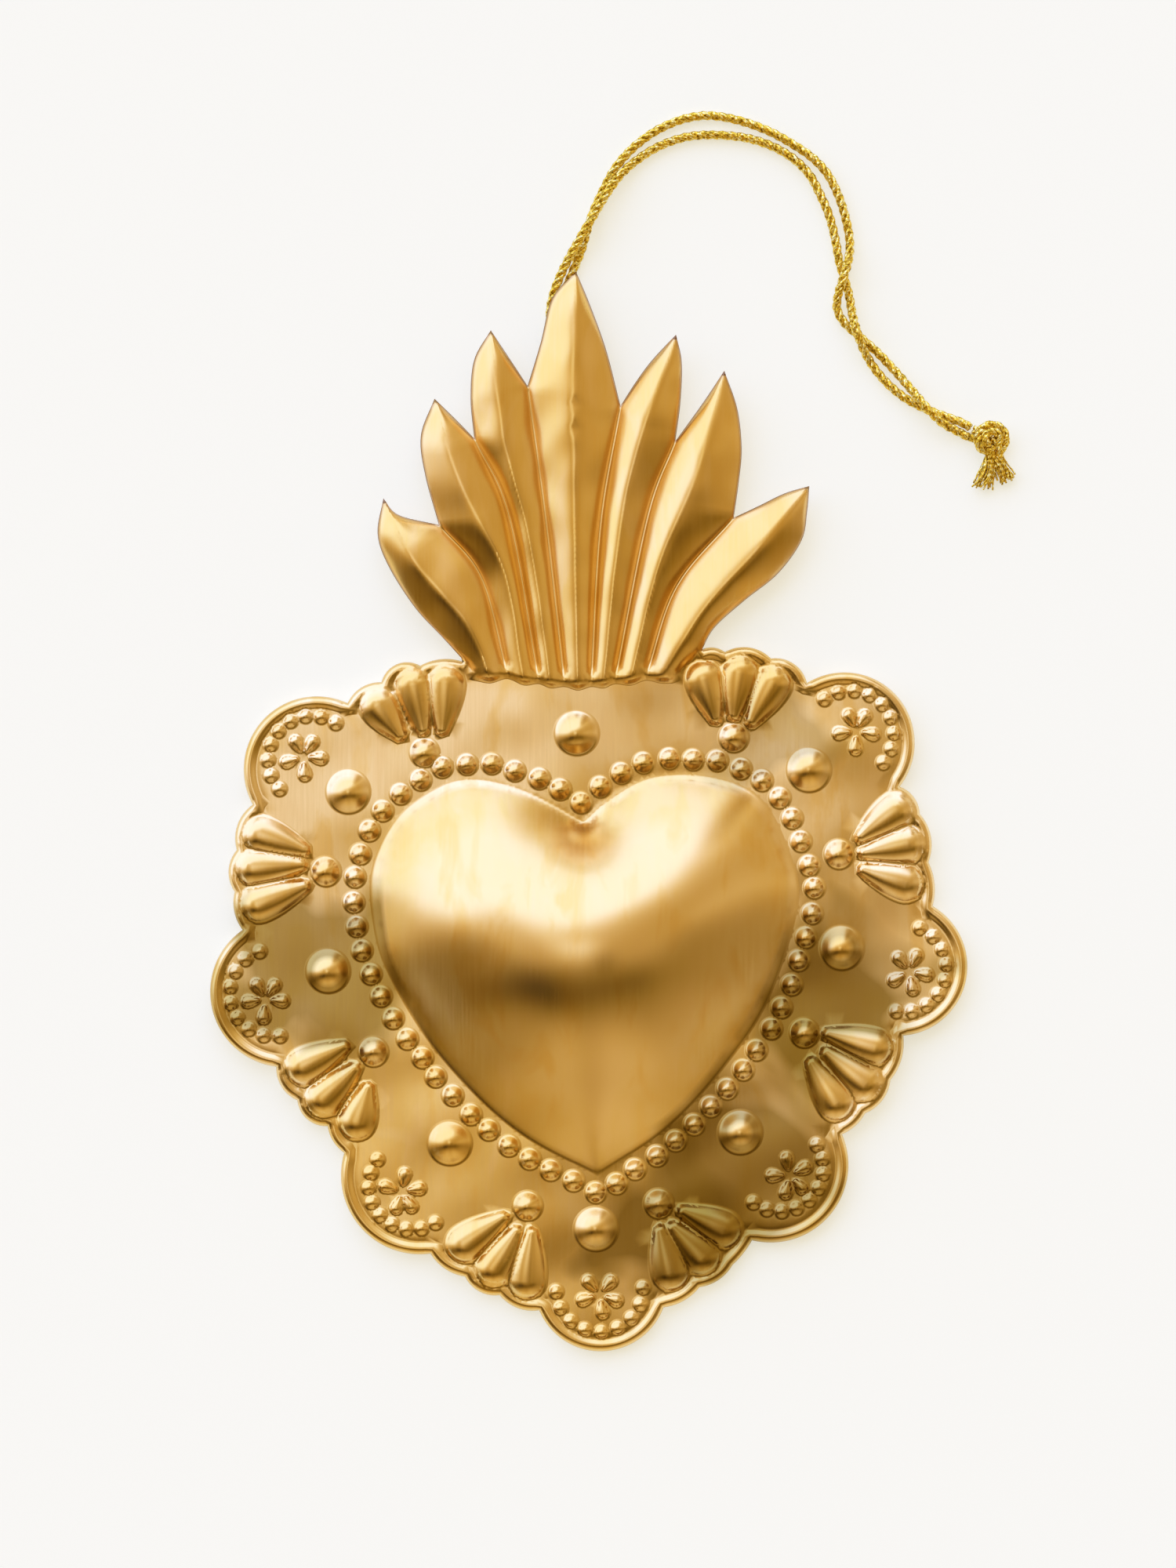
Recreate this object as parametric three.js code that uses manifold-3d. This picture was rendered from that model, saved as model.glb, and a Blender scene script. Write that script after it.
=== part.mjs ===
// Brass sacred heart ornament: one pressed sheet with a scalloped, hemmed rim and a flame of seven rays,
// a wire hanger loop soldered behind the middle ray, and a doubled gold cord with a knot.
// Millimetres. +Z is up, away from the table that the ornament lies on; +Y runs towards the flame's tip.

import * as THREE from 'three';
import { mergeVertices } from 'three/addons/utils/BufferGeometryUtils.js';
import Module from 'manifold-3d';

// Driving dimensions of the sheet
const SHEET_WIDTH = 105.2;
const SHEET_HEIGHT = 150.0;
const SHEET_THICKNESS = 0.45;
const FIELD_HEIGHT = 3.0;
const HEM_WIDTH = 1.1;
const RIM_WIDTH = 1.2;
const RIM_RISE = 0.35;
const HEART_RISE = 12.5;
const HEART_FULLNESS = 0.95;
const RAY_RISE = 3.3;
const RAY_MARGIN = 0.5;

// Driving dimensions of the pressed ornaments
const ROW_BEAD_DIAMETER = 2.7;
const ROW_BEAD_RISE = 1.2;
const ROW_BEAD_COUNT = 58;
const ROW_BEAD_OFFSET = 2.2;
const BOSS_DIAMETER = 5.7;
const BOSS_RISE = 2.3;
const SHELL_BEAD_DIAMETER = 3.8;
const SHELL_BEAD_RISE = 1.6;
const PETAL_START = 2.7;
const PETAL_REACH = 11.8;
const PETAL_WIDTH = 4.5;
const PETAL_NECK = 1.6;
const PETAL_RISE = 2.0;
const ROSETTE_PETAL_LENGTH = 2.7;
const ROSETTE_PETAL_WIDTH = 1.5;
const ROSETTE_PETAL_RISE = 0.7;
const ROSETTE_PETAL_COUNT = 5;
const ROSETTE_EYE = 0.7;

// Driving dimensions of the hanger, its solder and the cord
const WIRE_DIAMETER = 1.0;
const LEG_SPACING = 3.5;
const ARCH_FLOOR_GAP = 0.25;
const SOLDER_WIDTH = 2.6;
const SOLDER_CAP = 0.4;
const SOLDER_SKIRT = 0.4;
const CORD_DIAMETER = 1.3;
const KNOT_WIDTH = 4.8;
const KNOT_HEIGHT = 3.4;
const TAIL_DIAMETER = 1.5;
const TABLE_GAP = 0.15;
const CROSSING_GAP = 0.4;
const CLEARANCE = 0.3;

// Fineness of the facets
const ARC_STEP = 3.0;
const HEART_POINTS = 44;
const RAY_STATIONS = 7;
const EDGE_STEPS = 4;
const WIRE_SIDES = 8;
const CORD_SIDES = 8;
const CORD_STEP = 3.0;

// Places in the plan are drawn at this width and height, and follow the sheet's own
const DRAWN_WIDTH = 105.2;
const DRAWN_HEIGHT = 150.0;

function placed([x, y]) {
  return [(x * SHEET_WIDTH) / DRAWN_WIDTH, (y * SHEET_HEIGHT) / DRAWN_HEIGHT];
}

// Outline of the rim, anticlockwise from the flame's left foot: each arc is [point it passes, end]
const RIM_START = placed([-17.6, 20.9]);
const RIM_ARCS = [
  [[-20.6, 21.2], [-23.4, 20.3]], [[-26.4, 20.6], [-28.8, 18.0]], [[-32.0, 17.0], [-33.5, 15.1]],
  [[-44.5, 13.5], [-46.7, 1.0]],
  [[-48.7, -1.5], [-48.9, -5.3]], [[-50.0, -7.7], [-49.2, -11.1]], [[-49.2, -14.1], [-48.1, -16.4]],
  [[-52.6, -24.6], [-43.4, -35.4]],
  [[-42.7, -38.2], [-40.5, -40.1]], [[-38.8, -43.0], [-36.3, -43.7]], [[-35.6, -45.7], [-34.0, -47.4]],
  [[-31.4, -58.1], [-22.0, -61.4]],
  [[-19.7, -63.7], [-17.2, -64.6]], [[-15.0, -66.8], [-12.4, -67.2]], [[-9.9, -69.0], [-6.9, -69.3]],
  [[1.2, -75.0], [10.4, -68.9]],
  [[13.2, -68.0], [15.4, -66.1]], [[18.2, -65.0], [20.0, -63.0]], [[21.5, -61.4], [22.7, -59.6]],
  [[33.4, -56.2], [35.2, -44.8]],
  [[37.1, -43.6], [38.4, -41.9]], [[41.4, -39.1], [41.9, -37.3]], [[43.4, -34.5], [43.7, -31.1]],
  [[52.3, -23.9], [47.8, -13.1]],
  [[48.1, -10.3], [47.2, -7.0]], [[47.5, -3.2], [46.0, -0.3]], [[45.4, 1.7], [43.2, 3.5]],
  [[42.6, 16.3], [30.3, 17.9]],
  [[28.7, 20.4], [25.3, 21.3]], [[22.5, 22.8], [18.9, 22.2]], [[17.5, 22.8], [15.8, 22.6]],
].map((arc) => arc.map(placed));

// Heart outline, as two curves that meet at the notch and at the tip
const HEART_LEFT = [
  [-0.7, -1.3], [-6.0, 1.7], [-10.4, 3.5], [-15.7, 4.5], [-20.4, 3.6], [-26.5, -0.8], [-30.0, -7.8],
  [-30.0, -14.8], [-27.8, -22.5], [-21.0, -33.4], [-10.6, -43.9], [1.2, -50.4],
].map(placed);
const HEART_RIGHT = [
  [1.2, -50.4], [10.7, -43.9], [18.6, -35.6], [24.8, -26.2], [28.9, -13.2], [28.0, -6.3], [23.8, 1.8],
  [16.5, 4.9], [8.5, 4.7], [2.4, 1.4], [-0.7, -1.3],
].map(placed);
const HEART_CENTRE = placed([0.0, -17.0]);

// Flame, from left to right: valleys run from their notch to the flame's base, ridges from tip to base,
// and edges from a ray's tip to the notch (or foot) beside it
const VALLEYS = [
  [[-17.2, 20.8], [-15.6, 18.7]],
  [[-20.8, 39.8], [-14.9, 32.5], [-11.3, 19.0]],
  [[-15.9, 51.8], [-11.1, 41.2], [-7.0, 18.3]],
  [[-8.5, 59.1], [-6.0, 40.8], [-3.4, 17.9]],
  [[4.4, 56.3], [1.6, 39.8], [0.3, 17.9]],
  [[12.0, 51.4], [8.2, 41.2], [3.6, 18.3]],
  [[20.1, 40.8], [12.1, 31.2], [7.9, 18.8]],
  [[15.7, 22.5], [11.6, 18.4]],
].map((line) => line.map(placed));
const RIDGES = [
  [[-28.5, 43.5], [-24.1, 34.8], [-16.8, 26.1], [-13.6, 18.4]],
  [[-21.4, 57.3], [-17.7, 45.3], [-11.7, 33.4], [-9.0, 18.1]],
  [[-13.6, 66.8], [-11.7, 51.7], [-8.0, 36.6], [-5.3, 17.7]],
  [[-1.8, 75.0], [-2.1, 59.6], [-1.8, 32.0], [-1.5, 17.4]],
  [[12.1, 66.2], [6.5, 49.4], [4.0, 36.6], [2.1, 17.7]],
  [[18.8, 61.2], [14.8, 46.3], [9.8, 34.3], [5.8, 18.1]],
  [[30.6, 45.2], [23.5, 36.6], [15.8, 27.9], [10.0, 18.4]],
].map((line) => line.map(placed));
const LEFT_EDGES = [
  [[-29.3, 38.5], [-27.7, 33.9], [-24.1, 28.3], [-20.4, 24.3]],
  [[-23.3, 52.2], [-22.7, 46.7]],
  [[-15.9, 62.7], [-16.4, 57.3]],
  [[-5.1, 71.2], [-6.7, 65.0]],
  [[8.8, 62.7], [6.5, 59.6]],
  [[15.8, 56.7]],
  [[27.2, 44.2], [23.5, 42.4]],
].map((line) => line.map(placed));
const RIGHT_EDGES = [
  [[-26.4, 41.2]],
  [[-18.6, 54.6]],
  [[-11.0, 62.9]],
  [[0.1, 70.5], [2.4, 64.1]],
  [[12.9, 62.3], [12.7, 56.7]],
  [[20.6, 55.9], [21.2, 50.4], [20.8, 45.7]],
  [[30.3, 41.7], [29.5, 37.6], [26.2, 33.0], [21.6, 29.3], [17.5, 25.6]],
].map((line) => line.map(placed));

// Ornaments: centres of the bosses, shells (apex bead and the directions of the three petals) and rosettes
const BOSSES = [
  [-1.7, 10.9], [-33.4, 2.8], [-36.2, -22.1], [-19.3, -46.0], [1.0, -57.9], [21.0, -44.5], [35.1, -18.9],
  [30.5, 5.8],
].map(placed);
const SHELLS = [
  { bead: [-22.8, 8.2], petals: [132, 98, 73] },
  { bead: [-36.5, -8.3], petals: [146, 175, 204] },
  { bead: [-29.9, -33.3], petals: [196, 219, 252] },
  { bead: [-8.5, -54.7], petals: [211, 238, 265] },
  { bead: [9.7, -54.4], petals: [-22, -46, -75] },
  { bead: [29.9, -30.7], petals: [-9, -38, -63] },
  { bead: [34.7, -5.9], petals: [38, 12, -21] },
  { bead: [20.1, 10.3], petals: [112, 84, 57] },
].map(({ bead, petals }) => ({ bead: placed(bead), petals }));
const ROSETTES = [
  [-39.7, 8.2], [-44.9, -26.1], [-25.6, -52.7], [1.5, -67.3], [28.0, -50.7], [44.6, -22.2], [37.3, 11.4],
].map(placed);

// Cord: upper leg of the hanger that the bight turns round, then each strand's route from there to the knot.
// The routes are drawn from the hanger's drawn place and go with it
const DRAWN_PIVOT = [-1.8, 56.6];
const PIVOT = placed(DRAWN_PIVOT);
const CORD_LOW = CORD_DIAMETER / 2 + TABLE_GAP;
const CORD_HIGH = CORD_LOW + CORD_DIAMETER + CROSSING_GAP;
const INNER_ROUTE = [
  [-4.0, 60.4, 1.7], [-5.1, 64.6, CORD_LOW], [-5.4, 68.6, CORD_LOW], [-5.0, 71.7, CORD_LOW],
  [-3.6, 75.3, 1.2], [-1.8, 78.6, 2.1], [0.5, 82.5, CORD_HIGH], [3.0, 86.6, 2.1], [5.6, 89.7, 1.1],
  [9.7, 92.5, CORD_LOW], [14.6, 94.0, CORD_LOW], [20.6, 93.9, CORD_LOW], [24.9, 92.8, CORD_LOW],
  [28.2, 91.0, CORD_LOW], [30.6, 88.7, CORD_LOW], [32.2, 85.8, CORD_LOW], [33.5, 82.7, CORD_LOW],
  [34.3, 79.5, CORD_LOW], [34.8, 76.7, CORD_LOW], [35.5, 74.3, CORD_LOW], [36.2, 71.8, CORD_LOW],
  [36.6, 69.3, 1.5], [37.2, 66.8, CORD_HIGH], [38.1, 64.4, 1.6], [39.5, 62.0, CORD_LOW],
  [41.6, 59.5, CORD_LOW], [44.2, 57.4, CORD_LOW], [46.9, 56.0, CORD_LOW], [49.5, 55.0, CORD_LOW],
  [51.9, 54.1, 1.0], [53.0, 53.4, 1.2],
];
const OUTER_ROUTE = [
  [-0.7, 60.2, 1.7], [-1.9, 63.7, CORD_LOW], [-3.2, 67.8, CORD_LOW], [-3.5, 71.5, CORD_LOW],
  [-2.3, 74.9, CORD_LOW], [-1.0, 78.2, CORD_LOW], [0.2, 82.3, CORD_LOW], [2.0, 86.4, CORD_LOW],
  [4.2, 90.2, CORD_LOW], [7.7, 93.6, CORD_LOW], [11.9, 95.9, CORD_LOW], [16.2, 96.8, CORD_LOW],
  [20.6, 96.2, CORD_LOW], [24.9, 94.7, CORD_LOW], [28.9, 92.5, CORD_LOW], [31.6, 90.5, CORD_LOW],
  [33.5, 88.2, CORD_LOW], [34.9, 85.2, CORD_LOW], [35.8, 82.2, CORD_LOW], [36.3, 79.2, 0.9],
  [36.1, 76.7, 1.8], [35.4, 74.3, CORD_HIGH], [34.7, 72.1, 1.8], [34.5, 70.1, 0.9],
  [35.4, 68.2, CORD_LOW], [37.5, 66.2, CORD_LOW], [40.0, 64.0, CORD_LOW], [42.4, 61.5, 0.9],
  [44.6, 58.9, 1.8], [46.8, 56.2, CORD_HIGH], [49.0, 54.1, 1.8], [51.2, 52.9, 1.1], [52.8, 52.1, 1.0],
];
const KNOT_CENTRE = [55.8, 51.6];
const TAIL_ROUTES = [
  { name: 'cord_tail_left', points: [[55.6, 48.6, 1.1], [55.0, 46.4, 0.9], [54.6, 44.8, 0.9]] },
  { name: 'cord_tail_right', points: [[57.5, 48.9, 1.1], [57.8, 47.4, 0.9], [58.3, 45.8, 0.9]] },
];

const wasm = await Module();
wasm.setup();

// A closed geometry as a solid that can be joined and cut, and a solid as a geometry
function solidOf(geometry) {
  const bare = geometry.clone();
  bare.deleteAttribute('normal');
  bare.deleteAttribute('uv');
  const merged = mergeVertices(bare, 1e-4);
  const mesh = new wasm.Mesh({
    numProp: 3,
    vertProperties: Float32Array.from(merged.attributes.position.array),
    triVerts: Uint32Array.from(merged.index.array),
  });
  return new wasm.Manifold(mesh);
}

function geometryOf(solid) {
  const mesh = solid.getMesh();
  const geometry = new THREE.BufferGeometry();
  geometry.setAttribute('position', new THREE.BufferAttribute(Float32Array.from(mesh.vertProperties), 3));
  geometry.setIndex(new THREE.BufferAttribute(Uint32Array.from(mesh.triVerts), 1));
  geometry.computeVertexNormals();
  return geometry;
}

function vectors(points) {
  return points.map(([x, y]) => new THREE.Vector2(x, y));
}

function prism(points, low, high) {
  const shape = new THREE.Shape(vectors(points));
  const geometry = new THREE.ExtrudeGeometry(shape, { depth: high - low, bevelEnabled: false });
  return geometry.translate(0, 0, low);
}

// Points along the circular arc from a through b to c, without a itself; arcs run anticlockwise
function arcPoints(a, b, c) {
  const square = ([x, y]) => x * x + y * y;
  const turn = 2 * (a[0] * (b[1] - c[1]) + b[0] * (c[1] - a[1]) + c[0] * (a[1] - b[1]));
  const x = (square(a) * (b[1] - c[1]) + square(b) * (c[1] - a[1]) + square(c) * (a[1] - b[1])) / turn;
  const y = (square(a) * (c[0] - b[0]) + square(b) * (a[0] - c[0]) + square(c) * (b[0] - a[0])) / turn;
  const radius = Math.hypot(a[0] - x, a[1] - y);
  const start = Math.atan2(a[1] - y, a[0] - x);
  const fullTurn = 2 * Math.PI;
  const sweep = (Math.atan2(c[1] - y, c[0] - x) - start + fullTurn) % fullTurn;
  const steps = Math.max(3, Math.round((radius * sweep) / ARC_STEP));
  const points = [];
  for (let i = 1; i <= steps; i += 1) {
    const angle = start + (sweep * i) / steps;
    points.push([x + radius * Math.cos(angle), y + radius * Math.sin(angle)]);
  }
  return points;
}

// Evenly spaced points on a smooth curve through a few points
function spline(points, steps) {
  return new THREE.SplineCurve(vectors(points)).getSpacedPoints(steps).map((point) => point.toArray());
}

// A line moved to its left by a distance, with mitred corners
function offsetLine(points, distance) {
  const sharpestMitre = 0.6;
  return points.map((point, i) => {
    const here = new THREE.Vector2(...point);
    const into = here.clone().sub(new THREE.Vector2(...points[Math.max(i - 1, 0)]));
    const onward = new THREE.Vector2(...points[Math.min(i + 1, points.length - 1)]).sub(here);
    if (i === 0) into.copy(onward);
    if (i === points.length - 1) onward.copy(into);
    const normalIn = new THREE.Vector2(-into.y, into.x).normalize();
    const normalOn = new THREE.Vector2(-onward.y, onward.x).normalize();
    const mitre = normalIn.clone().add(normalOn).normalize();
    const reach = distance / Math.max(mitre.dot(normalIn), sharpestMitre);
    return here.addScaledVector(mitre, reach).toArray();
  });
}

function offsetLoop(points, distance) {
  const around = [points[points.length - 1], ...points, points[0]];
  return offsetLine(around, distance).slice(1, -1);
}

// Rings of equally many points joined into a closed body, with its two end rings closed by fans
function loft(rings, startHub, endHub) {
  const count = rings[0].length;
  const index = [];
  for (let r = 0; r + 1 < rings.length; r += 1) {
    for (let i = 0; i < count; i += 1) {
      const a = r * count + i;
      const b = r * count + ((i + 1) % count);
      index.push(a, b, a + count, b, b + count, a + count);
    }
  }
  const last = (rings.length - 1) * count;
  const hubs = rings.length * count;
  for (let i = 0; i < count; i += 1) {
    const next = (i + 1) % count;
    index.push(hubs, next, i);
    index.push(hubs + 1, last + i, last + next);
  }
  const geometry = new THREE.BufferGeometry();
  const positions = [...rings.flat(), startHub, endHub].flat();
  geometry.setAttribute('position', new THREE.Float32BufferAttribute(positions, 3));
  geometry.setIndex(index);
  return geometry;
}

function middleOf(ring) {
  return [0, 1, 2].map((axis) => ring.reduce((sum, point) => sum + point[axis], 0) / ring.length);
}

// Pressed forms start in the middle of the sheet; shrunk by the sheet's thickness, the same form is the
// hollow behind it
const SHEET_MIDDLE = FIELD_HEIGHT - SHEET_THICKNESS / 2;

// A round swelling
function dome(diameter, rise, sides, shrink) {
  const radius = diameter / 2 - shrink;
  const [shoulderOut, shoulderUp] = [0.8, 0.62];
  const top = FIELD_HEIGHT + rise - shrink;
  const base = SHEET_MIDDLE - shrink;
  const shoulder = [radius * shoulderOut, base + (top - base) * shoulderUp];
  const profile = [[0, base], [radius, base], shoulder, [0, top]];
  return new THREE.LatheGeometry(vectors(profile), sides).rotateX(Math.PI / 2);
}

// A shell petal along +X: it swells from a low neck to a round outer end. Each station is its distance from
// the apex bead, its half width and its share of the rise
function petalForm(shrink) {
  const radius = PETAL_WIDTH / 2 - shrink;
  const neck = PETAL_NECK / 2 - shrink;
  const start = PETAL_START + shrink;
  const roundCentre = PETAL_REACH - PETAL_WIDTH / 2;
  const base = SHEET_MIDDLE - shrink;
  const stations = [
    [start, neck, 0.3],
    [roundCentre - radius / 2, 0.92 * radius, 1],
    [roundCentre + 0.4 * radius, 0.92 * radius, 0.95],
    [roundCentre + 0.9 * radius, 0.44 * radius, 0.45],
  ];
  const [shoulderOut, shoulderUp] = [0.7, 0.7];
  const rings = stations.map(([along, spread, share]) => {
    const top = FIELD_HEIGHT + PETAL_RISE * share - shrink;
    const shoulder = base + (top - base) * shoulderUp;
    return [
      [along, -spread, base], [along, spread, base], [along, spread * shoulderOut, shoulder], [along, 0, top],
      [along, -spread * shoulderOut, shoulder],
    ];
  });
  return loft(rings, middleOf(rings[0]), middleOf(rings[rings.length - 1]));
}

// The heart: its outline drawn in ring by ring towards the centre, each point as high as its depth allows
const heartLine = [HEART_LEFT, HEART_RIGHT].flatMap((side) => spline(side, HEART_POINTS / 2).slice(0, -1));

// Depth of a point inside a loop: pi over the sum, along the loop, of the angle that each stretch is seen
// under divided by its distance. Inside a circle this makes the dome of a stretched skin
function depthInside([x, y], loop) {
  const leastDistance = 1e-6;
  const sum = loop.reduce((total, [ax, ay], i) => {
    const [bx, by] = loop[(i + 1) % loop.length];
    const length = Math.hypot(bx - ax, by - ay);
    const across = Math.abs((bx - ax) * (ay - y) - (ax - x) * (by - ay)) / length;
    const distance = Math.max(across, leastDistance);
    const along = ((ax - x) * (bx - ax) + (ay - y) * (by - ay)) / length;
    return total + (Math.atan2(along + length, distance) - Math.atan2(along, distance)) / distance;
  }, 0);
  return Math.PI / sum;
}

function heartForm(shrink) {
  const line = offsetLoop(heartLine, shrink);
  const base = SHEET_MIDDLE - shrink;
  const top = FIELD_HEIGHT + HEART_RISE - shrink;
  const scales = [1, 0.93, 0.83, 0.69, 0.5, 0.26];
  const [centreX, centreY] = HEART_CENTRE;
  const deepest = depthInside(HEART_CENTRE, line);
  const height = (point) => base + (top - base) * (depthInside(point, line) / deepest) ** HEART_FULLNESS;
  const rings = scales.map((scale) => line.map(([x, y]) => {
    const point = [centreX + (x - centreX) * scale, centreY + (y - centreY) * scale];
    return [...point, scale === 1 ? base : height(point)];
  }));
  return loft(rings, [centreX, centreY, base], [centreX, centreY, top]);
}

// A ring moved by a distance towards the next one
function shortened(ring, next, distance) {
  const [from, to] = [middleOf(ring), middleOf(next)];
  const share = distance / Math.hypot(to[0] - from[0], to[1] - from[1]);
  return ring.map((point, i) => point.map((value, axis) => value + (next[i][axis] - value) * share));
}

// A flame ray: a ridge between two edges, low at its tip and at its base
function rayLift(share) {
  const [tipShare, climb, baseShare] = [0.3, 2.4, 0.15];
  return RAY_RISE * (share === 1 ? baseShare : Math.min(1, tipShare + climb * share));
}

function rayForm({ left, right, ridge }, shrink) {
  const stations = RAY_STATIONS + 1;
  const [lefts, rights, tops] = [left, right, ridge].map((line) => spline(line, stations).slice(1));
  const drawIn = (edge, top) => {
    const towards = new THREE.Vector2(top[0] - edge[0], top[1] - edge[1]);
    const margin = Math.min(RAY_MARGIN, towards.length() / 2);
    return towards.setLength(margin).add(new THREE.Vector2(...edge)).toArray();
  };
  const rings = tops.map((top, i) => [
    [...drawIn(lefts[i], top), SHEET_MIDDLE - shrink],
    [...drawIn(rights[i], top), SHEET_MIDDLE - shrink],
    [...top, FIELD_HEIGHT + rayLift((i + 1) / stations) - shrink],
  ]);
  const last = rings.length - 1;
  rings[0] = shortened(rings[0], rings[1], shrink);
  rings[last] = shortened(rings[last], rings[last - 1], shrink);
  return loft(rings, middleOf(rings[0]), middleOf(rings[last]));
}

// Each ray's edges from tip to base: its cut edge down to the notch, then the valley that it shares
const rays = RIDGES.map((ridge, k) => ({
  left: [ridge[0], ...LEFT_EDGES[k], ...VALLEYS[k]],
  right: [ridge[0], ...RIGHT_EDGES[k], ...VALLEYS[k + 1]],
  ridge,
}));

// The cut edge of the flame from its right foot to its left one
function flameLine() {
  const points = [];
  for (let k = RIDGES.length - 1; k >= 0; k -= 1) {
    const tip = RIDGES[k][0];
    const up = spline([VALLEYS[k + 1][0], ...[...RIGHT_EDGES[k]].reverse(), tip], EDGE_STEPS);
    const down = spline([tip, ...LEFT_EDGES[k], VALLEYS[k][0]], EDGE_STEPS);
    points.push(...up.slice(0, -1), ...down.slice(0, -1));
  }
  return points;
}

// The rim's line from the flame's left foot round to its right one, and bands along it
const rimLine = [RIM_START];
for (const [middle, end] of RIM_ARCS) {
  rimLine.push(...arcPoints(rimLine[rimLine.length - 1], middle, end));
}

function rimBand(outerInset, innerInset) {
  return [...offsetLine(rimLine, outerInset), ...offsetLine(rimLine, innerInset).reverse()];
}

function turned(geometry, degrees, [x, y]) {
  return geometry.rotateZ(THREE.MathUtils.degToRad(degrees)).translate(x, y, 0);
}

// The row of beads round the heart, evenly spaced on a line outside its outline
function rowBeadCentres() {
  const line = offsetLoop(heartLine, -ROW_BEAD_OFFSET);
  const curve = new THREE.CatmullRomCurve3(line.map(([x, y]) => new THREE.Vector3(x, y, 0)), true);
  return curve.getSpacedPoints(ROW_BEAD_COUNT).slice(0, -1).map(({ x, y }) => [x, y]);
}

function pressedSheet() {
  const rowBeadSides = 5;
  const bossSides = 8;
  const shellBeadSides = 8;
  const rosetteSides = 6;
  const rimChamfer = RIM_RISE;
  const hollowForms = [
    heartForm,
    ...rays.map((ray) => (shrink) => rayForm(ray, shrink)),
    ...BOSSES.map((centre) => (shrink) =>
      turned(dome(BOSS_DIAMETER, BOSS_RISE, bossSides, shrink), 0, centre)),
    ...SHELLS.map(({ bead }) => (shrink) =>
      turned(dome(SHELL_BEAD_DIAMETER, SHELL_BEAD_RISE, shellBeadSides, shrink), 0, bead)),
    ...SHELLS.flatMap(({ bead, petals }) => petals.map((degrees) => (shrink) =>
      turned(petalForm(shrink), degrees, bead))),
  ];
  let sheet = solidOf(prism([...rimLine, ...flameLine()], FIELD_HEIGHT - SHEET_THICKNESS, FIELD_HEIGHT));
  sheet = sheet.add(solidOf(prism(rimBand(0, HEM_WIDTH), 0, SHEET_MIDDLE)));
  sheet = sheet.add(solidOf(prism(rimBand(rimChamfer, RIM_WIDTH), SHEET_MIDDLE, FIELD_HEIGHT + RIM_RISE)));
  for (const form of hollowForms) sheet = sheet.add(solidOf(form(0)));
  for (const centre of rowBeadCentres()) {
    sheet = sheet.add(solidOf(turned(dome(ROW_BEAD_DIAMETER, ROW_BEAD_RISE, rowBeadSides, 0), 0, centre)));
  }
  for (const centre of ROSETTES) {
    for (let k = 0; k < ROSETTE_PETAL_COUNT; k += 1) {
      const foot = [ROSETTE_PETAL_WIDTH / 2, SHEET_MIDDLE];
      const profile = [[0, SHEET_MIDDLE], foot, [0, FIELD_HEIGHT + ROSETTE_PETAL_RISE]];
      const petal = new THREE.LatheGeometry(vectors(profile), rosetteSides).rotateX(Math.PI / 2);
      petal.scale(ROSETTE_PETAL_LENGTH / ROSETTE_PETAL_WIDTH, 1, 1);
      petal.translate(ROSETTE_EYE + ROSETTE_PETAL_LENGTH / 2, 0, 0);
      sheet = sheet.add(solidOf(turned(petal, 90 + (360 / ROSETTE_PETAL_COUNT) * k, centre)));
    }
  }
  for (const form of hollowForms) sheet = sheet.subtract(solidOf(form(SHEET_THICKNESS)));
  return geometryOf(sheet);
}

// Round section of a tube and a tube along a curve
function disc(diameter, sides) {
  const points = [];
  for (let i = 0; i < sides; i += 1) {
    const angle = (2 * Math.PI * (i + 0.5)) / sides;
    points.push([(diameter / 2) * Math.cos(angle), (diameter / 2) * Math.sin(angle)]);
  }
  return new THREE.Shape(vectors(points));
}

// Points of the cord, moved with the hanger
function withHanger(points) {
  const [across, along] = [PIVOT[0] - DRAWN_PIVOT[0], PIVOT[1] - DRAWN_PIVOT[1]];
  return points.map(([x, y, z]) => [x + across, y + along, z]);
}

function tube(points, diameter, sides, steps) {
  const path = new THREE.CatmullRomCurve3(points.map((point) => new THREE.Vector3(...point)));
  const count = steps ?? Math.round(path.getLength() / CORD_STEP);
  return new THREE.ExtrudeGeometry(disc(diameter, sides), { steps: count, extrudePath: path });
}

// The hanger: two straight legs joined by a round arch that hangs towards the table
const [pivotX, pivotY] = PIVOT;
const archRadius = LEG_SPACING / 2;
const archCentreZ = ARCH_FLOOR_GAP + WIRE_DIAMETER / 2 + archRadius;
const middleRay = 3;
const ridgeLength = RIDGES[middleRay][0][1] - RIDGES[middleRay][3][1];

// Underside of the middle ray's ridge above a leg, and how fast it falls away to the ray's two edges
function ridgeUnderside(legY) {
  const share = (RIDGES[middleRay][0][1] - legY) / ridgeLength;
  return FIELD_HEIGHT + rayLift(share) - SHEET_THICKNESS;
}

const grooveHalfWidth = (VALLEYS[middleRay + 1][0][0] - VALLEYS[middleRay][0][0]) / 2;
const grooveSlope = (RAY_RISE + SHEET_THICKNESS) / (grooveHalfWidth - RAY_MARGIN);

function solderTop(legY) {
  return ridgeUnderside(legY) - 2 * CLEARANCE;
}

function solderBottom(legY) {
  return solderTop(legY) - (SOLDER_WIDTH / 2) * grooveSlope - SOLDER_SKIRT;
}

function legTop(legY) {
  return solderTop(legY) - SOLDER_CAP - CLEARANCE;
}

const legYs = [pivotY, pivotY - LEG_SPACING];

function hangerLoop() {
  const archSteps = 8;
  const points = [[pivotX, legYs[0], legTop(legYs[0])]];
  for (let i = 0; i <= archSteps; i += 1) {
    const angle = (Math.PI * i) / archSteps;
    const y = pivotY - archRadius + archRadius * Math.cos(angle);
    points.push([pivotX, y, archCentreZ - archRadius * Math.sin(angle)]);
  }
  points.push([pivotX, legYs[1], legTop(legYs[1])]);
  return tube(points, WIRE_DIAMETER, WIRE_SIDES, 2 * archSteps);
}

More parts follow.
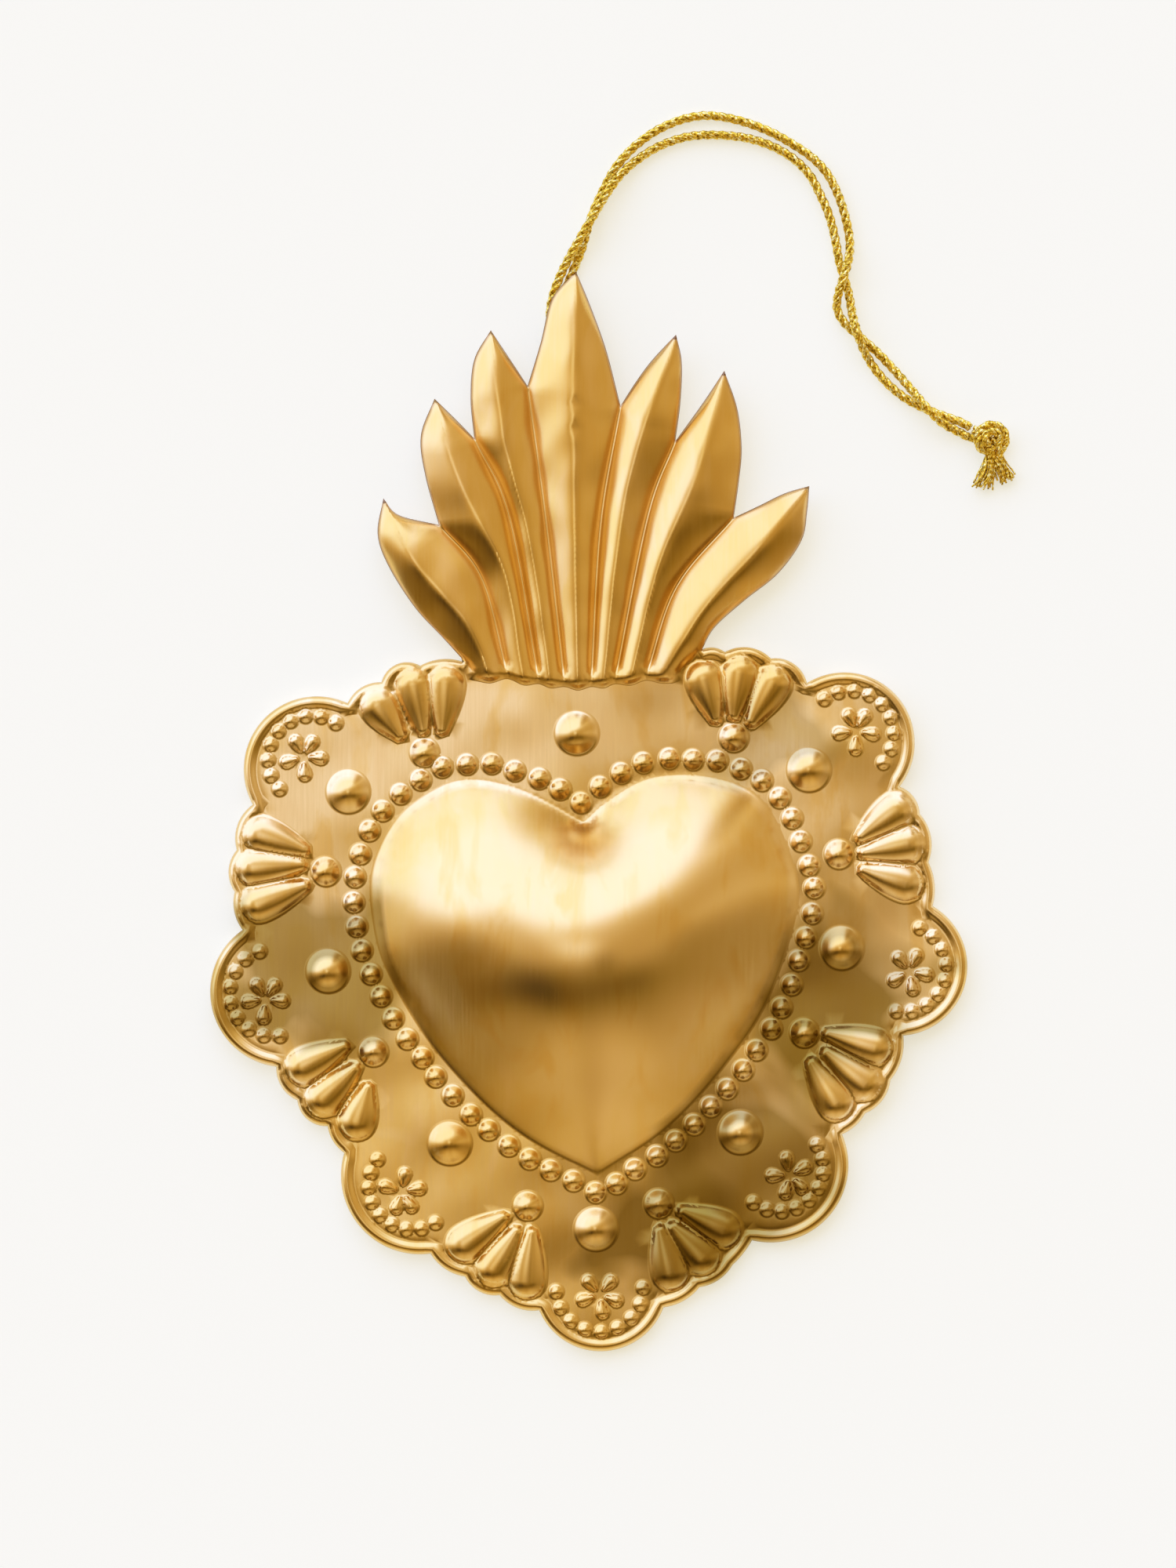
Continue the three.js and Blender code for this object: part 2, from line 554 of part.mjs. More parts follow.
// A solder joint: a cap over a leg's end, with a skirt round the leg, coned to fit under the ridge
function solderJoint(legY) {
  const sides = 12;
  const top = solderTop(legY);
  const rim = SOLDER_WIDTH / 2;
  const hole = WIRE_DIAMETER / 2 + CLEARANCE;
  const bottom = solderBottom(legY);
  const profile = [[0, top - SOLDER_CAP], [hole, top - SOLDER_CAP], [hole, bottom], [rim, bottom],
    [rim, top - rim * grooveSlope], [0, top]];
  const geometry = new THREE.LatheGeometry(vectors(profile), sides).rotateX(Math.PI / 2);
  return geometry.translate(pivotX, legY, 0);
}

// The cord's bight round the upper leg, below its solder, then the strands and the knot
const bightRadius = WIRE_DIAMETER / 2 + CLEARANCE + CORD_DIAMETER / 2;
const bightZ = solderBottom(pivotY) - CLEARANCE - CORD_DIAMETER / 2;

function cordBight() {
  const steps = 8;
  const points = [];
  for (let i = 0; i <= steps; i += 1) {
    const angle = Math.PI + (Math.PI * i) / steps;
    const x = pivotX + bightRadius * Math.cos(angle);
    const y = pivotY + bightRadius * Math.sin(angle);
    points.push([x, y, bightZ]);
  }
  return tube(points, CORD_DIAMETER, CORD_SIDES, steps);
}

function cordStrand(side, route) {
  const startX = pivotX + side * bightRadius;
  const start = [startX, pivotY + CLEARANCE, bightZ];
  const straight = [startX, pivotY + CLEARANCE + CORD_DIAMETER, bightZ];
  return tube([start, straight, ...withHanger(route)], CORD_DIAMETER, CORD_SIDES);
}

function cordKnot() {
  const [meridians, parallels] = [14, 10];
  const geometry = new THREE.SphereGeometry(KNOT_WIDTH / 2, meridians, parallels);
  geometry.scale(1, 1, KNOT_HEIGHT / KNOT_WIDTH);
  const [centre] = withHanger([[...KNOT_CENTRE, KNOT_HEIGHT / 2 + TABLE_GAP]]);
  return geometry.translate(...centre);
}

// The assembly
const brass = { color: 0xc89b50, roughness: 0.35, metalness: 1 };
const wire = { color: 0xb98a45, roughness: 0.4, metalness: 1 };
const solder = { color: 0x8f8b84, roughness: 0.5, metalness: 1 };
const goldThread = { color: 0xcfa22c, roughness: 0.45, metalness: 0.8 };

const group = new THREE.Group();

function addPiece(name, geometry, finish) {
  const mesh = new THREE.Mesh(geometry, new THREE.MeshStandardMaterial(finish));
  mesh.name = name;
  group.add(mesh);
}

addPiece('pressed_sheet', pressedSheet(), brass);
addPiece('hanger_loop', hangerLoop(), wire);
addPiece('solder_joint_upper', solderJoint(legYs[0]), solder);
addPiece('solder_joint_lower', solderJoint(legYs[1]), solder);
addPiece('cord_bight', cordBight(), goldThread);
addPiece('cord_strand_inner', cordStrand(-1, INNER_ROUTE), goldThread);
addPiece('cord_strand_outer', cordStrand(1, OUTER_ROUTE), goldThread);
addPiece('cord_knot', cordKnot(), goldThread);
for (const { name, points } of TAIL_ROUTES) {
  addPiece(name, tube(withHanger(points), TAIL_DIAMETER, CORD_SIDES, points.length), goldThread);
}

export default group;
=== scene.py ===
import bpy
import numpy as np
from mathutils.geometry import delaunay_2d_cdt
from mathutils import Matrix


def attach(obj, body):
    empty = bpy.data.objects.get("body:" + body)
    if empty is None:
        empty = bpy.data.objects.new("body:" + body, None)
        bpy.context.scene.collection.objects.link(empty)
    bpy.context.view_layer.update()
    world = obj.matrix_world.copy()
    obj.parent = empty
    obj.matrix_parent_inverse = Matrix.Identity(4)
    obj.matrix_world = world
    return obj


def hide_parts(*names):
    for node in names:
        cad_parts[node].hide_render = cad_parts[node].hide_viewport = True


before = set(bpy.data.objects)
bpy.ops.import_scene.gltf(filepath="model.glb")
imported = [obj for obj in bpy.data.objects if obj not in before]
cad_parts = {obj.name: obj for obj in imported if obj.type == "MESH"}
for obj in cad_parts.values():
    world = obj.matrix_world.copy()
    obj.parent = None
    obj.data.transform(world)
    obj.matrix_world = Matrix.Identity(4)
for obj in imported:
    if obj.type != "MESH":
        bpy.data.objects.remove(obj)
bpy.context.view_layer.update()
mm = 0.001
print("frame loaded:", len(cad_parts), "nodes")


# Camera: straight down on the ornament, as it was photographed
cameraSetup = {
    "distance": 850.0, "middle": (-0.11, 3.86), "viewHeight": 217.5, "sensor": 36.0, "level": 3.0,
}


def makeCamera():
    # focal length = sensor * distance / height of the view, with the picture's long side upright
    data = bpy.data.cameras.new("photoCamera")
    data.sensor_width = cameraSetup["sensor"]
    data.lens = cameraSetup["sensor"] * cameraSetup["distance"] / cameraSetup["viewHeight"]
    camera = bpy.data.objects.new("photoCamera", data)
    x, y = cameraSetup["middle"]
    camera.location = (x * mm, y * mm, (cameraSetup["level"] + cameraSetup["distance"]) * mm)
    bpy.context.scene.collection.objects.link(camera)
    bpy.context.scene.camera = camera


makeCamera()
print("camera set")


# Lines, tubes and meshes that several pieces use; all lengths in mm
def reachAlong(line):
    # length of the line from its start to each of its points
    return np.r_[0, np.cumsum(np.linalg.norm(np.diff(line, axis=0), axis=1))]


def evenly(line, count):
    # the same line with its points evenly spaced along its length
    reach = reachAlong(line)
    marks = np.linspace(0, reach[-1], count)
    return np.stack([np.interp(marks, reach, axis) for axis in line.T], axis=1)


def lengthOf(line):
    return np.linalg.norm(np.diff(line, axis=0), axis=1).sum()


def smoothLine(points, step):
    # Catmull-Rom curve through the points, then evenly spaced
    knots = np.asarray(points, float)
    knots = np.vstack([2 * knots[0] - knots[1], knots, 2 * knots[-1] - knots[-2]])
    t = np.linspace(0, 1, 20, endpoint=False)[:, None]
    a, b, c, d = (knots[i:len(knots) - 3 + i, None] for i in range(4))
    curve = b + 0.5 * t * (c - a + t * (2 * a - 5 * b + 4 * c - d + t * (3 * (b - c) + d - a)))
    line = np.vstack([curve.reshape(-1, knots.shape[1]), knots[-2]])
    return evenly(line, max(3, round(lengthOf(line) / step) + 1))


def unit(vectors):
    return vectors / np.linalg.norm(vectors, axis=-1, keepdims=True)


def frames(path, towards):
    # tangent along the path, the given direction made square to it, and the third direction
    tangent = unit(np.gradient(path, axis=0))
    normal = unit(towards - tangent * (towards * tangent).sum(1, keepdims=True))
    return normal, np.cross(tangent, normal)


def ringFaces(rings, sides, first=0):
    # faces between neighbouring rings, and one face over each end
    station, side = np.meshgrid(np.arange(rings - 1), np.arange(sides), indexing="ij")
    a = first + station * sides + side
    b = first + station * sides + (side + 1) % sides
    quads = np.stack([a, b, b + sides, a + sides], axis=-1).reshape(-1, 4)
    return quads, first + np.stack([np.arange(sides)[::-1], (rings - 1) * sides + np.arange(sides)])


def tubeAlong(path, towards, radius, sides, first=0):
    # circle of the radius carried along the path, with both ends closed
    normal, binormal = frames(path, towards)
    angle = np.linspace(0, 2 * np.pi, sides, endpoint=False)[:, None]
    reach = np.broadcast_to(np.asarray(radius, float), (len(path),))[:, None, None]
    ring = np.cos(angle) * normal[:, None] + np.sin(angle) * binormal[:, None]
    points = (path[:, None] + reach * ring).reshape(-1, 3)
    quads, ends = ringFaces(len(path), sides, first)
    along = reachAlong(path)
    lay = np.stack([np.repeat(along, sides), np.tile(np.arange(sides) / sides, len(path))], axis=1)
    return points, quads, ends, lay


def meshPiece(name, points, faceSets):
    # one mesh at the origin; each face set is an array of faces with equally many corners
    mesh = bpy.data.meshes.new(name)
    corners = np.concatenate([faces.ravel() for faces in faceSets]).astype(np.int32)
    sizes = np.concatenate([np.full(len(faces), faces.shape[1]) for faces in faceSets])
    mesh.vertices.add(len(points))
    mesh.vertices.foreach_set("co", (points * mm).astype(np.float32).ravel())
    mesh.loops.add(len(corners))
    mesh.loops.foreach_set("vertex_index", corners)
    mesh.polygons.add(len(sizes))
    mesh.polygons.foreach_set("loop_start", np.r_[0, np.cumsum(sizes)[:-1]].astype(np.int32))
    mesh.polygons.foreach_set("use_smooth", np.ones(len(sizes), bool))
    mesh.update(calc_edges=True)
    mesh.validate()
    piece = bpy.data.objects.new(name, mesh)
    bpy.context.scene.collection.objects.link(piece)
    return piece


def pointValues(piece, name, values):
    piece.data.attributes.new(name, "FLOAT", "POINT").data.foreach_set("value", values.astype(np.float32))


def manyTubes(name, tubes, sides):
    # several tubes in one mesh; "lay" keeps the length along each tube and "turn" the place round it
    sets = []
    first = 0
    for path, towards, radius in tubes:
        sets.append(tubeAlong(path, towards, radius, sides, first))
        first += len(path) * sides
    points, quads, ends, lay = (np.concatenate(parts) for parts in zip(*sets))
    piece = meshPiece(name, points, [quads, ends])
    pointValues(piece, "lay", lay[:, 0])
    pointValues(piece, "turn", lay[:, 1])
    return piece


# Cord: three plies twisted together, laid double from the hanger to the knot
up = np.array([[0.0, 0.0, 1.0]])
cord = {
    "diameter": 1.3, "plies": 3, "plyRadius": 0.33, "layRadius": 0.33, "pitch": 3.9, "step": 0.22,
    "sides": 8,
}
cordLow = 0.8
cordHigh = 2.5
bight = {"pivot": (-1.8, 56.6), "radius": 1.45, "height": 3.08, "lead": 0.3, "straight": 1.6}
innerRoute = [
    (-4.0, 60.4, 1.7), (-5.1, 64.6, cordLow), (-5.4, 68.6, cordLow), (-5.0, 71.7, cordLow),
    (-3.6, 75.3, 1.2), (-1.8, 78.6, 2.1), (0.5, 82.5, cordHigh), (3.0, 86.6, 2.1), (5.6, 89.7, 1.1),
    (9.7, 92.5, cordLow), (14.6, 94.0, cordLow), (20.6, 93.9, cordLow), (24.9, 92.8, cordLow),
    (28.2, 91.0, cordLow), (30.6, 88.7, cordLow), (32.2, 85.8, cordLow), (33.5, 82.7, cordLow),
    (34.3, 79.5, cordLow), (34.8, 76.7, cordLow), (35.5, 74.3, cordLow), (36.2, 71.8, cordLow),
    (36.6, 69.3, 1.5), (37.2, 66.8, cordHigh), (38.1, 64.4, 1.6), (39.5, 62.0, cordLow),
    (41.6, 59.5, cordLow), (44.2, 57.4, cordLow), (46.9, 56.0, cordLow), (49.5, 55.0, cordLow),
    (51.9, 54.1, 1.0), (53.0, 53.4, 1.2),
]
outerRoute = [
    (-0.7, 60.2, 1.7), (-1.9, 63.7, cordLow), (-3.2, 67.8, cordLow), (-3.5, 71.5, cordLow),
    (-2.3, 74.9, cordLow), (-1.0, 78.2, cordLow), (0.2, 82.3, cordLow), (2.0, 86.4, cordLow),
    (4.2, 90.2, cordLow), (7.7, 93.6, cordLow), (11.9, 95.9, cordLow), (16.2, 96.8, cordLow),
    (20.6, 96.2, cordLow), (24.9, 94.7, cordLow), (28.9, 92.5, cordLow), (31.6, 90.5, cordLow),
    (33.5, 88.2, cordLow), (34.9, 85.2, cordLow), (35.8, 82.2, cordLow), (36.3, 79.2, 0.9),
    (36.1, 76.7, 1.8), (35.4, 74.3, cordHigh), (34.7, 72.1, 1.8), (34.5, 70.1, 0.9),
    (35.4, 68.2, cordLow), (37.5, 66.2, cordLow), (40.0, 64.0, cordLow), (42.4, 61.5, 0.9),
    (44.6, 58.9, 1.8), (46.8, 56.2, cordHigh), (49.0, 54.1, 1.8), (51.2, 52.9, 1.1), (52.8, 52.1, 1.0),
]


def twistedPlies(path, towards, start=0.0):
    # each ply's centre circles the cord's centre line once in a pitch, a third of a turn after the last one
    normal, binormal = frames(path, towards)
    along = reachAlong(path)
    tubes = []
    for ply in range(cord["plies"]):
        turn = 2 * np.pi * (along / cord["pitch"] + ply / cord["plies"] + start)[:, None]
        outward = np.cos(turn) * normal + np.sin(turn) * binormal
        tubes.append((path + cord["layRadius"] * outward, outward, cord["plyRadius"]))
    return tubes


def cordStrand(name, side, route):
    # straight off the hanger's leg for a little way, then through the points of the route
    x = bight["pivot"][0] + side * bight["radius"]
    y = bight["pivot"][1] + bight["lead"]
    start = [(x, y, bight["height"]), (x, y + bight["straight"], bight["height"])]
    path = smoothLine(start + route, cord["step"])
    piece = manyTubes(name, twistedPlies(path, up), cord["sides"])
    return piece, path


def cordBight():
    # half circle round the hanger's upper leg, from one strand's start to the other's
    angle = np.linspace(np.pi, 2 * np.pi, 25)
    turn = np.stack([np.cos(angle), np.sin(angle), 0 * angle], axis=1) * bight["radius"]
    turn += (*bight["pivot"], bight["height"])
    lead = np.array([[0, bight["lead"], 0]])
    path = evenly(np.vstack([turn[:1] + lead, turn, turn[-1:] + lead]), 28)
    return manyTubes("cordBight", twistedPlies(path, up), cord["sides"])


knot = {
    "centre": (55.8, 51.6, 1.75), "spread": 0.56, "squeeze": 0.86, "above": (0.0, 0.0, 3.0), "twist": 0.2,
}
knotRoute = [
    (-3.0, 1.2, -0.6), (-1.7, 0.6, -0.5), (-0.2, -0.5, -0.8), (1.2, -1.2, -0.6), (1.9, 0.0, -0.1),
    (1.5, 1.4, 0.3), (0.1, 1.9, 0.7), (-1.2, 1.2, 0.9), (-1.5, -0.2, 0.8), (-0.7, -1.2, 0.4),
    (0.3, -0.6, 0.1), (0.7, -1.5, -0.1), (0.8, -2.8, -0.6),
]


def cordKnot():
    # overhand turn of both strands side by side: into the knot, round its right and top, out at the foot
    middle = smoothLine(knotRoute, cord["step"])
    outward = unit(middle + knot["above"])
    _, binormal = frames(middle, outward)
    tubes = []
    for side in (-1, 1):
        path = middle * knot["squeeze"] + side * knot["spread"] * binormal + knot["centre"]
        tubes += twistedPlies(path, outward, knot["twist"] * side)
    return manyTubes("cordKnot", tubes, cord["sides"])


tails = {
    "left": [(55.9, 49.4, 1.2), (55.5, 47.6, 1.1), (54.9, 45.9, 0.9), (54.6, 44.8, 0.9)],
    "right": [(56.7, 49.5, 1.2), (57.3, 47.8, 1.1), (57.9, 46.7, 0.9), (58.3, 45.8, 0.9)],
}
fray = {
    "threads": 34, "bundle": 0.85, "splay": 1.5, "thread": 0.13, "twist": 0.5, "flat": 0.6, "sides": 5,
    "step": 0.3, "angle": 2.4, "shortest": 0.75, "wave": 0.12, "rings": 14,
}


def cordTail(side, seed):
    # threads that start as a twisted bundle and spread towards their cut ends
    draw = np.random.default_rng(seed)
    path = smoothLine(tails[side], fray["step"])
    normal, binormal = frames(path, up)
    share = np.linspace(0, 1, len(path))[:, None]
    tubes = []
    for thread in range(fray["threads"]):
        place = np.sqrt((thread + 0.5) / fray["threads"])
        cut = draw.uniform(fray["shortest"], 1.0)
        wave = fray["wave"] * draw.normal(size=3)
        turn = thread * fray["angle"] + 2 * np.pi * fray["twist"] * share * (1 - share)
        reach = place * (fray["bundle"] + (fray["splay"] - fray["bundle"]) * share ** 1.5)
        bend = wave[0] * np.sin(3 * share + wave[1]) + wave[2] * share
        line = path + (reach * np.cos(turn) + bend) * binormal
        line += fray["flat"] * reach * np.sin(turn) * normal
        cutLine = line[:max(4, round(cut * len(line)))]
        tubes.append((evenly(cutLine, fray["rings"]), up, fray["thread"]))
    return manyTubes("cordTail" + side.capitalize(), tubes, fray["sides"])


innerStrand, innerPath = cordStrand("cordStrandInner", -1, innerRoute)
outerStrand, outerPath = cordStrand("cordStrandOuter", 1, outerRoute)
cordPieces = {
    "cord_strand_inner": innerStrand, "cord_strand_outer": outerStrand, "cord_bight": cordBight(),
    "cord_knot": cordKnot(), "cord_tail_left": cordTail("left", 3), "cord_tail_right": cordTail("right", 4),
}
for node, piece in cordPieces.items():
    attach(piece, "cord")
    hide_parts(node)
print("cord laid:", round(lengthOf(innerPath)), "and", round(lengthOf(outerPath)), "mm")


# Sheet: plan lines in mm, as drawn for the solid part
sheet = {
    "thickness": 0.45, "field": 3.0, "fine": 0.1, "ground": 1.4, "groundGap": 0.6, "rimStep": 0.58,
    "edgeStep": 0.7, "edgeGap": 0.09, "seamGap": 0.13, "skirt": 0.28, "roundSkirt": 0.3,
}
rimStart = (-17.6, 20.9)
rimArcs = [
    ((-20.6, 21.2), (-23.4, 20.3)), ((-26.4, 20.6), (-28.8, 18.0)), ((-32.0, 17.0), (-33.5, 15.1)),
    ((-44.5, 13.5), (-46.7, 1.0)),
    ((-48.7, -1.5), (-48.9, -5.3)), ((-50.0, -7.7), (-49.2, -11.1)), ((-49.2, -14.1), (-48.1, -16.4)),
    ((-52.6, -24.6), (-43.4, -35.4)),
    ((-42.7, -38.2), (-40.5, -40.1)), ((-38.8, -43.0), (-36.3, -43.7)), ((-35.6, -45.7), (-34.0, -47.4)),
    ((-31.4, -58.1), (-22.0, -61.4)),
    ((-19.7, -63.7), (-17.2, -64.6)), ((-15.0, -66.8), (-12.4, -67.2)), ((-9.9, -69.0), (-6.9, -69.3)),
    ((1.2, -75.0), (10.4, -68.9)),
    ((13.2, -68.0), (15.4, -66.1)), ((18.2, -65.0), (20.0, -63.0)), ((21.5, -61.4), (22.7, -59.6)),
    ((33.4, -56.2), (35.2, -44.8)),
    ((37.1, -43.6), (38.4, -41.9)), ((41.4, -39.1), (41.9, -37.3)), ((43.4, -34.5), (43.7, -31.1)),
    ((52.3, -23.9), (47.8, -13.1)),
    ((48.1, -10.3), (47.2, -7.0)), ((47.5, -3.2), (46.0, -0.3)), ((45.4, 1.7), (43.2, 3.5)),
    ((42.6, 16.3), (30.3, 17.9)),
    ((28.7, 20.4), (25.3, 21.3)), ((22.5, 22.8), (18.9, 22.2)), ((17.5, 22.8), (15.8, 22.6)),
]
heartLeft = [
    (-0.7, -1.3), (-6.0, 1.7), (-10.4, 3.5), (-15.7, 4.5), (-20.4, 3.6), (-26.5, -0.8), (-30.0, -7.8),
    (-30.0, -14.8), (-27.8, -22.5), (-21.0, -33.4), (-10.6, -43.9), (1.2, -50.4),
]
heartRight = [
    (1.2, -50.4), (10.7, -43.9), (18.6, -35.6), (24.8, -26.2), (28.9, -13.2), (28.0, -6.3), (23.8, 1.8),
    (16.5, 4.9), (8.5, 4.7), (2.4, 1.4), (-0.7, -1.3),
]
valleys = [
    [(-17.2, 20.8), (-15.6, 18.7)],
    [(-20.8, 39.8), (-14.9, 32.5), (-11.3, 19.0)],
    [(-15.9, 51.8), (-11.1, 41.2), (-7.0, 18.3)],
    [(-8.5, 59.1), (-6.0, 40.8), (-3.4, 17.9)],
    [(4.4, 56.3), (1.6, 39.8), (0.3, 17.9)],
    [(12.0, 51.4), (8.2, 41.2), (3.6, 18.3)],
    [(20.1, 40.8), (12.1, 31.2), (7.9, 18.8)],
    [(15.7, 22.5), (11.6, 18.4)],
]
ridges = [
    [(-28.5, 43.5), (-24.1, 34.8), (-16.8, 26.1), (-13.6, 18.4)],
    [(-21.4, 57.3), (-17.7, 45.3), (-11.7, 33.4), (-9.0, 18.1)],
    [(-13.6, 66.8), (-11.7, 51.7), (-8.0, 36.6), (-5.3, 17.7)],
    [(-1.8, 75.0), (-2.1, 59.6), (-1.8, 32.0), (-1.5, 17.4)],
    [(12.1, 66.2), (6.5, 49.4), (4.0, 36.6), (2.1, 17.7)],
    [(18.8, 61.2), (14.8, 46.3), (9.8, 34.3), (5.8, 18.1)],
    [(30.6, 45.2), (23.5, 36.6), (15.8, 27.9), (10.0, 18.4)],
]
leftEdges = [
    [(-29.3, 38.5), (-27.7, 33.9), (-24.1, 28.3), (-20.4, 24.3)],
    [(-23.3, 52.2), (-22.7, 46.7)],
    [(-15.9, 62.7), (-16.4, 57.3)],
    [(-5.1, 71.2), (-6.7, 65.0)],
    [(8.8, 62.7), (6.5, 59.6)],
    [(15.8, 56.7)],
    [(27.2, 44.2), (23.5, 42.4)],
]
rightEdges = [
    [(-26.4, 41.2)],
    [(-18.6, 54.6)],
    [(-11.0, 62.9)],
    [(0.1, 70.5), (2.4, 64.1)],
    [(12.9, 62.3), (12.7, 56.7)],
    [(20.6, 55.9), (21.2, 50.4), (20.8, 45.7)],
    [(30.3, 41.7), (29.5, 37.6), (26.2, 33.0), (21.6, 29.3), (17.5, 25.6)],
]
bossCentres = [
    (-1.7, 10.9), (-33.4, 2.8), (-36.2, -22.1), (-19.3, -46.0), (1.0, -57.9), (21.0, -44.5), (35.1, -18.9),
    (30.5, 5.8),
]
# shells: middle of the bead, then each petal's two ends from the bead outwards
shells = [
    ((-22.8, 8.2), [
        ((-25.6, 9.7), (-30.8, 16.9)), ((-22.8, 10.3), (-24.9, 20.2)), ((-20.4, 10.3), (-19.7, 20.6)),
    ]),
    ((-36.5, -8.3), [
        ((-38.5, -5.7), (-48.1, -2.2)), ((-38.8, -7.3), (-49.2, -7.9)), ((-38.5, -10.0), (-48.4, -13.7)),
    ]),
    ((-29.9, -33.3), [
        ((-33.0, -32.1), (-42.0, -36.7)), ((-31.7, -34.9), (-38.8, -41.9)),
        ((-30.3, -37.3), (-33.1, -45.6)),
    ]),
    ((-8.5, -54.7), [
        ((-11.0, -55.7), (-19.5, -61.6)), ((-9.5, -57.3), (-14.6, -65.9)), ((-7.8, -57.4), (-9.0, -67.9)),
    ]),
    ((9.7, -54.4), [
        ((12.2, -55.0), (21.2, -59.2)), ((11.0, -56.9), (17.6, -63.9)), ((9.6, -57.1), (12.1, -66.6)),
    ]),
    ((29.9, -30.7), [
        ((32.2, -30.5), (42.3, -33.4)), ((32.1, -32.7), (40.5, -39.4)), ((30.3, -33.9), (35.8, -42.7)),
    ]),
    ((34.7, -5.9), [
        ((36.9, -4.1), (44.9, 1.8)), ((37.2, -5.9), (46.9, -4.1)), ((37.1, -7.7), (46.6, -10.8)),
    ]),
    ((20.1, 10.3), [
        ((17.8, 11.9), (15.3, 21.0)), ((20.0, 12.3), (21.4, 21.9)), ((22.1, 11.6), (26.8, 20.2)),
    ]),
]
# lobes: middle of the rosette and its petals' angles, then the bead arc's middle, first and last angle
lobes = [
    ((-39.6, 7.6), (60, 117, 196, 274, 356), (-38.5, 7.3), 56, 223),
    ((-44.9, -26.1), (58, 119, 184, 265, 357), (-43.8, -25.1), 108, 279),
    ((-25.9, -52.7), (10, 82, 163, 250, 301), (-24.5, -51.9), 143, 302),
    ((1.5, -67.1), (51, 129, 196, 280, 341), (1.5, -66.2), 184, 361),
    ((27.9, -50.5), (28, 100, 180, 256, 315), (26.5, -49.4), 233, 392),
    ((44.5, -22.2), (66, 128, 209, 281, 350), (43.6, -21.7), 261, 427),
    ((37.1, 11.2), (60, 115, 187, 268, 350), (36.3, 10.8), -41, 127),
]


def compass(angle):
    return np.stack([np.cos(angle), np.sin(angle)], axis=1)


def arcThrough(a, b, c, step):
    # circle through three points, followed anticlockwise from a to c, without a itself
    ax, ay, bx, by, cx, cy = *a, *b, *c
    twice = 2 * (ax * (by - cy) + bx * (cy - ay) + cx * (ay - by))
    sa, sb, sc = ax * ax + ay * ay, bx * bx + by * by, cx * cx + cy * cy
    middle = np.array([sa * (by - cy) + sb * (cy - ay) + sc * (ay - by),
                       sa * (cx - bx) + sb * (ax - cx) + sc * (bx - ax)]) / twice
    radius = np.hypot(ax - middle[0], ay - middle[1])
    start = np.arctan2(ay - middle[1], ax - middle[0])
    sweep = (np.arctan2(cy - middle[1], cx - middle[0]) - start) % (2 * np.pi)
    count = max(4, round(radius * sweep / step))
    angle = start + sweep * np.arange(1, count + 1) / count
    return middle + radius * compass(angle)


def rimLine(step):
    line = np.array([rimStart])
    for passing, end in rimArcs:
        line = np.vstack([line, arcThrough(line[-1], passing, end, step)])
    return line


def rayLines(ray, step):
    # the ray's two edges from tip to base, each a cut edge and then a valley, and its ridge
    tip = ridges[ray][0]
    sides = []
    for cut, valley in ((leftEdges[ray], valleys[ray]), (rightEdges[ray], valleys[ray + 1])):
        sides.append([smoothLine([tip, *cut, valley[0]], step), smoothLine(valley, step)])
    return *sides, smoothLine(ridges[ray], step)


def inBlocks(work, points, size):
    # the work done on blocks of points that fit in memory
    return np.concatenate([work(block) for block in np.array_split(points, max(1, len(points) // size))])


def distanceTo(points, line):
    # least distance of each point to the line's stretches
    a, along = line[:-1], np.diff(line, axis=0)
    squared = (along ** 2).sum(1)

    def least(block):
        offset = block[:, None] - a
        share = np.clip((offset * along).sum(2) / squared, 0, 1)
        return np.sqrt(((offset - share[..., None] * along) ** 2).sum(2).min(1))

    return inBlocks(least, points, 1500)


def inside(points, loop):
    # even or odd count of the loop's edges to the right of each point
    ax, ay = loop.T
    bx, by = np.roll(loop, -1, axis=0).T

    def odd(block):
        x, y = block.T[:, :, None]
        with np.errstate(divide="ignore", invalid="ignore"):
            crossed = ((ay > y) != (by > y)) & (x < (bx - ax) * (y - ay) / (by - ay) + ax)
        return crossed.sum(1) % 2 == 1

    return inBlocks(odd, points, 3000)


def smoothStep(x):
    x = np.clip(x, 0, 1)
    return x * x * (3 - 2 * x)


# Field: nearly flat, with the waves and the slight crown of a sheet that was worked by hand
field = {
    "waves": 18, "shortest": 9.0, "longest": 60.0, "slope": 0.04, "seed": 11, "crown": 0.0005,
    "middle": (-6.0, -9.0), "flameFrom": 12.0, "flameRun": 14.0, "calm": 0.65,
}
handwork = {"waves": 20, "shortest": 4.0, "longest": 12.0, "slope": 0.03, "seed": 8}


def waves(points, spec):
    # a sum of sine waves of many lengths and directions, each with the same share of the slope
    draw = np.random.default_rng(spec["seed"])
    lengths = np.exp(draw.uniform(np.log(spec["shortest"]), np.log(spec["longest"]), spec["waves"]))
    heading = draw.uniform(0, 2 * np.pi, spec["waves"])
    phase = draw.uniform(0, 2 * np.pi, spec["waves"])
    numbers = 2 * np.pi / lengths * np.stack([np.cos(heading), np.sin(heading)])
    size = spec["slope"] * lengths / (2 * np.pi) / np.sqrt(spec["waves"] / 2)
    return np.sin(points @ numbers + phase) @ size


def fieldHeight(points):
    # waves over a low round crown; under the flame the crown fades out and the waves grow calmer
    away = ((points - field["middle"]) ** 2).sum(1)
    flamed = smoothStep((points[:, 1] - field["flameFrom"]) / field["flameRun"])
    bent = (1 - field["calm"] * flamed) * waves(points, field)
    return sheet["field"] + bent - field["crown"] / 2 * away * (1 - flamed)


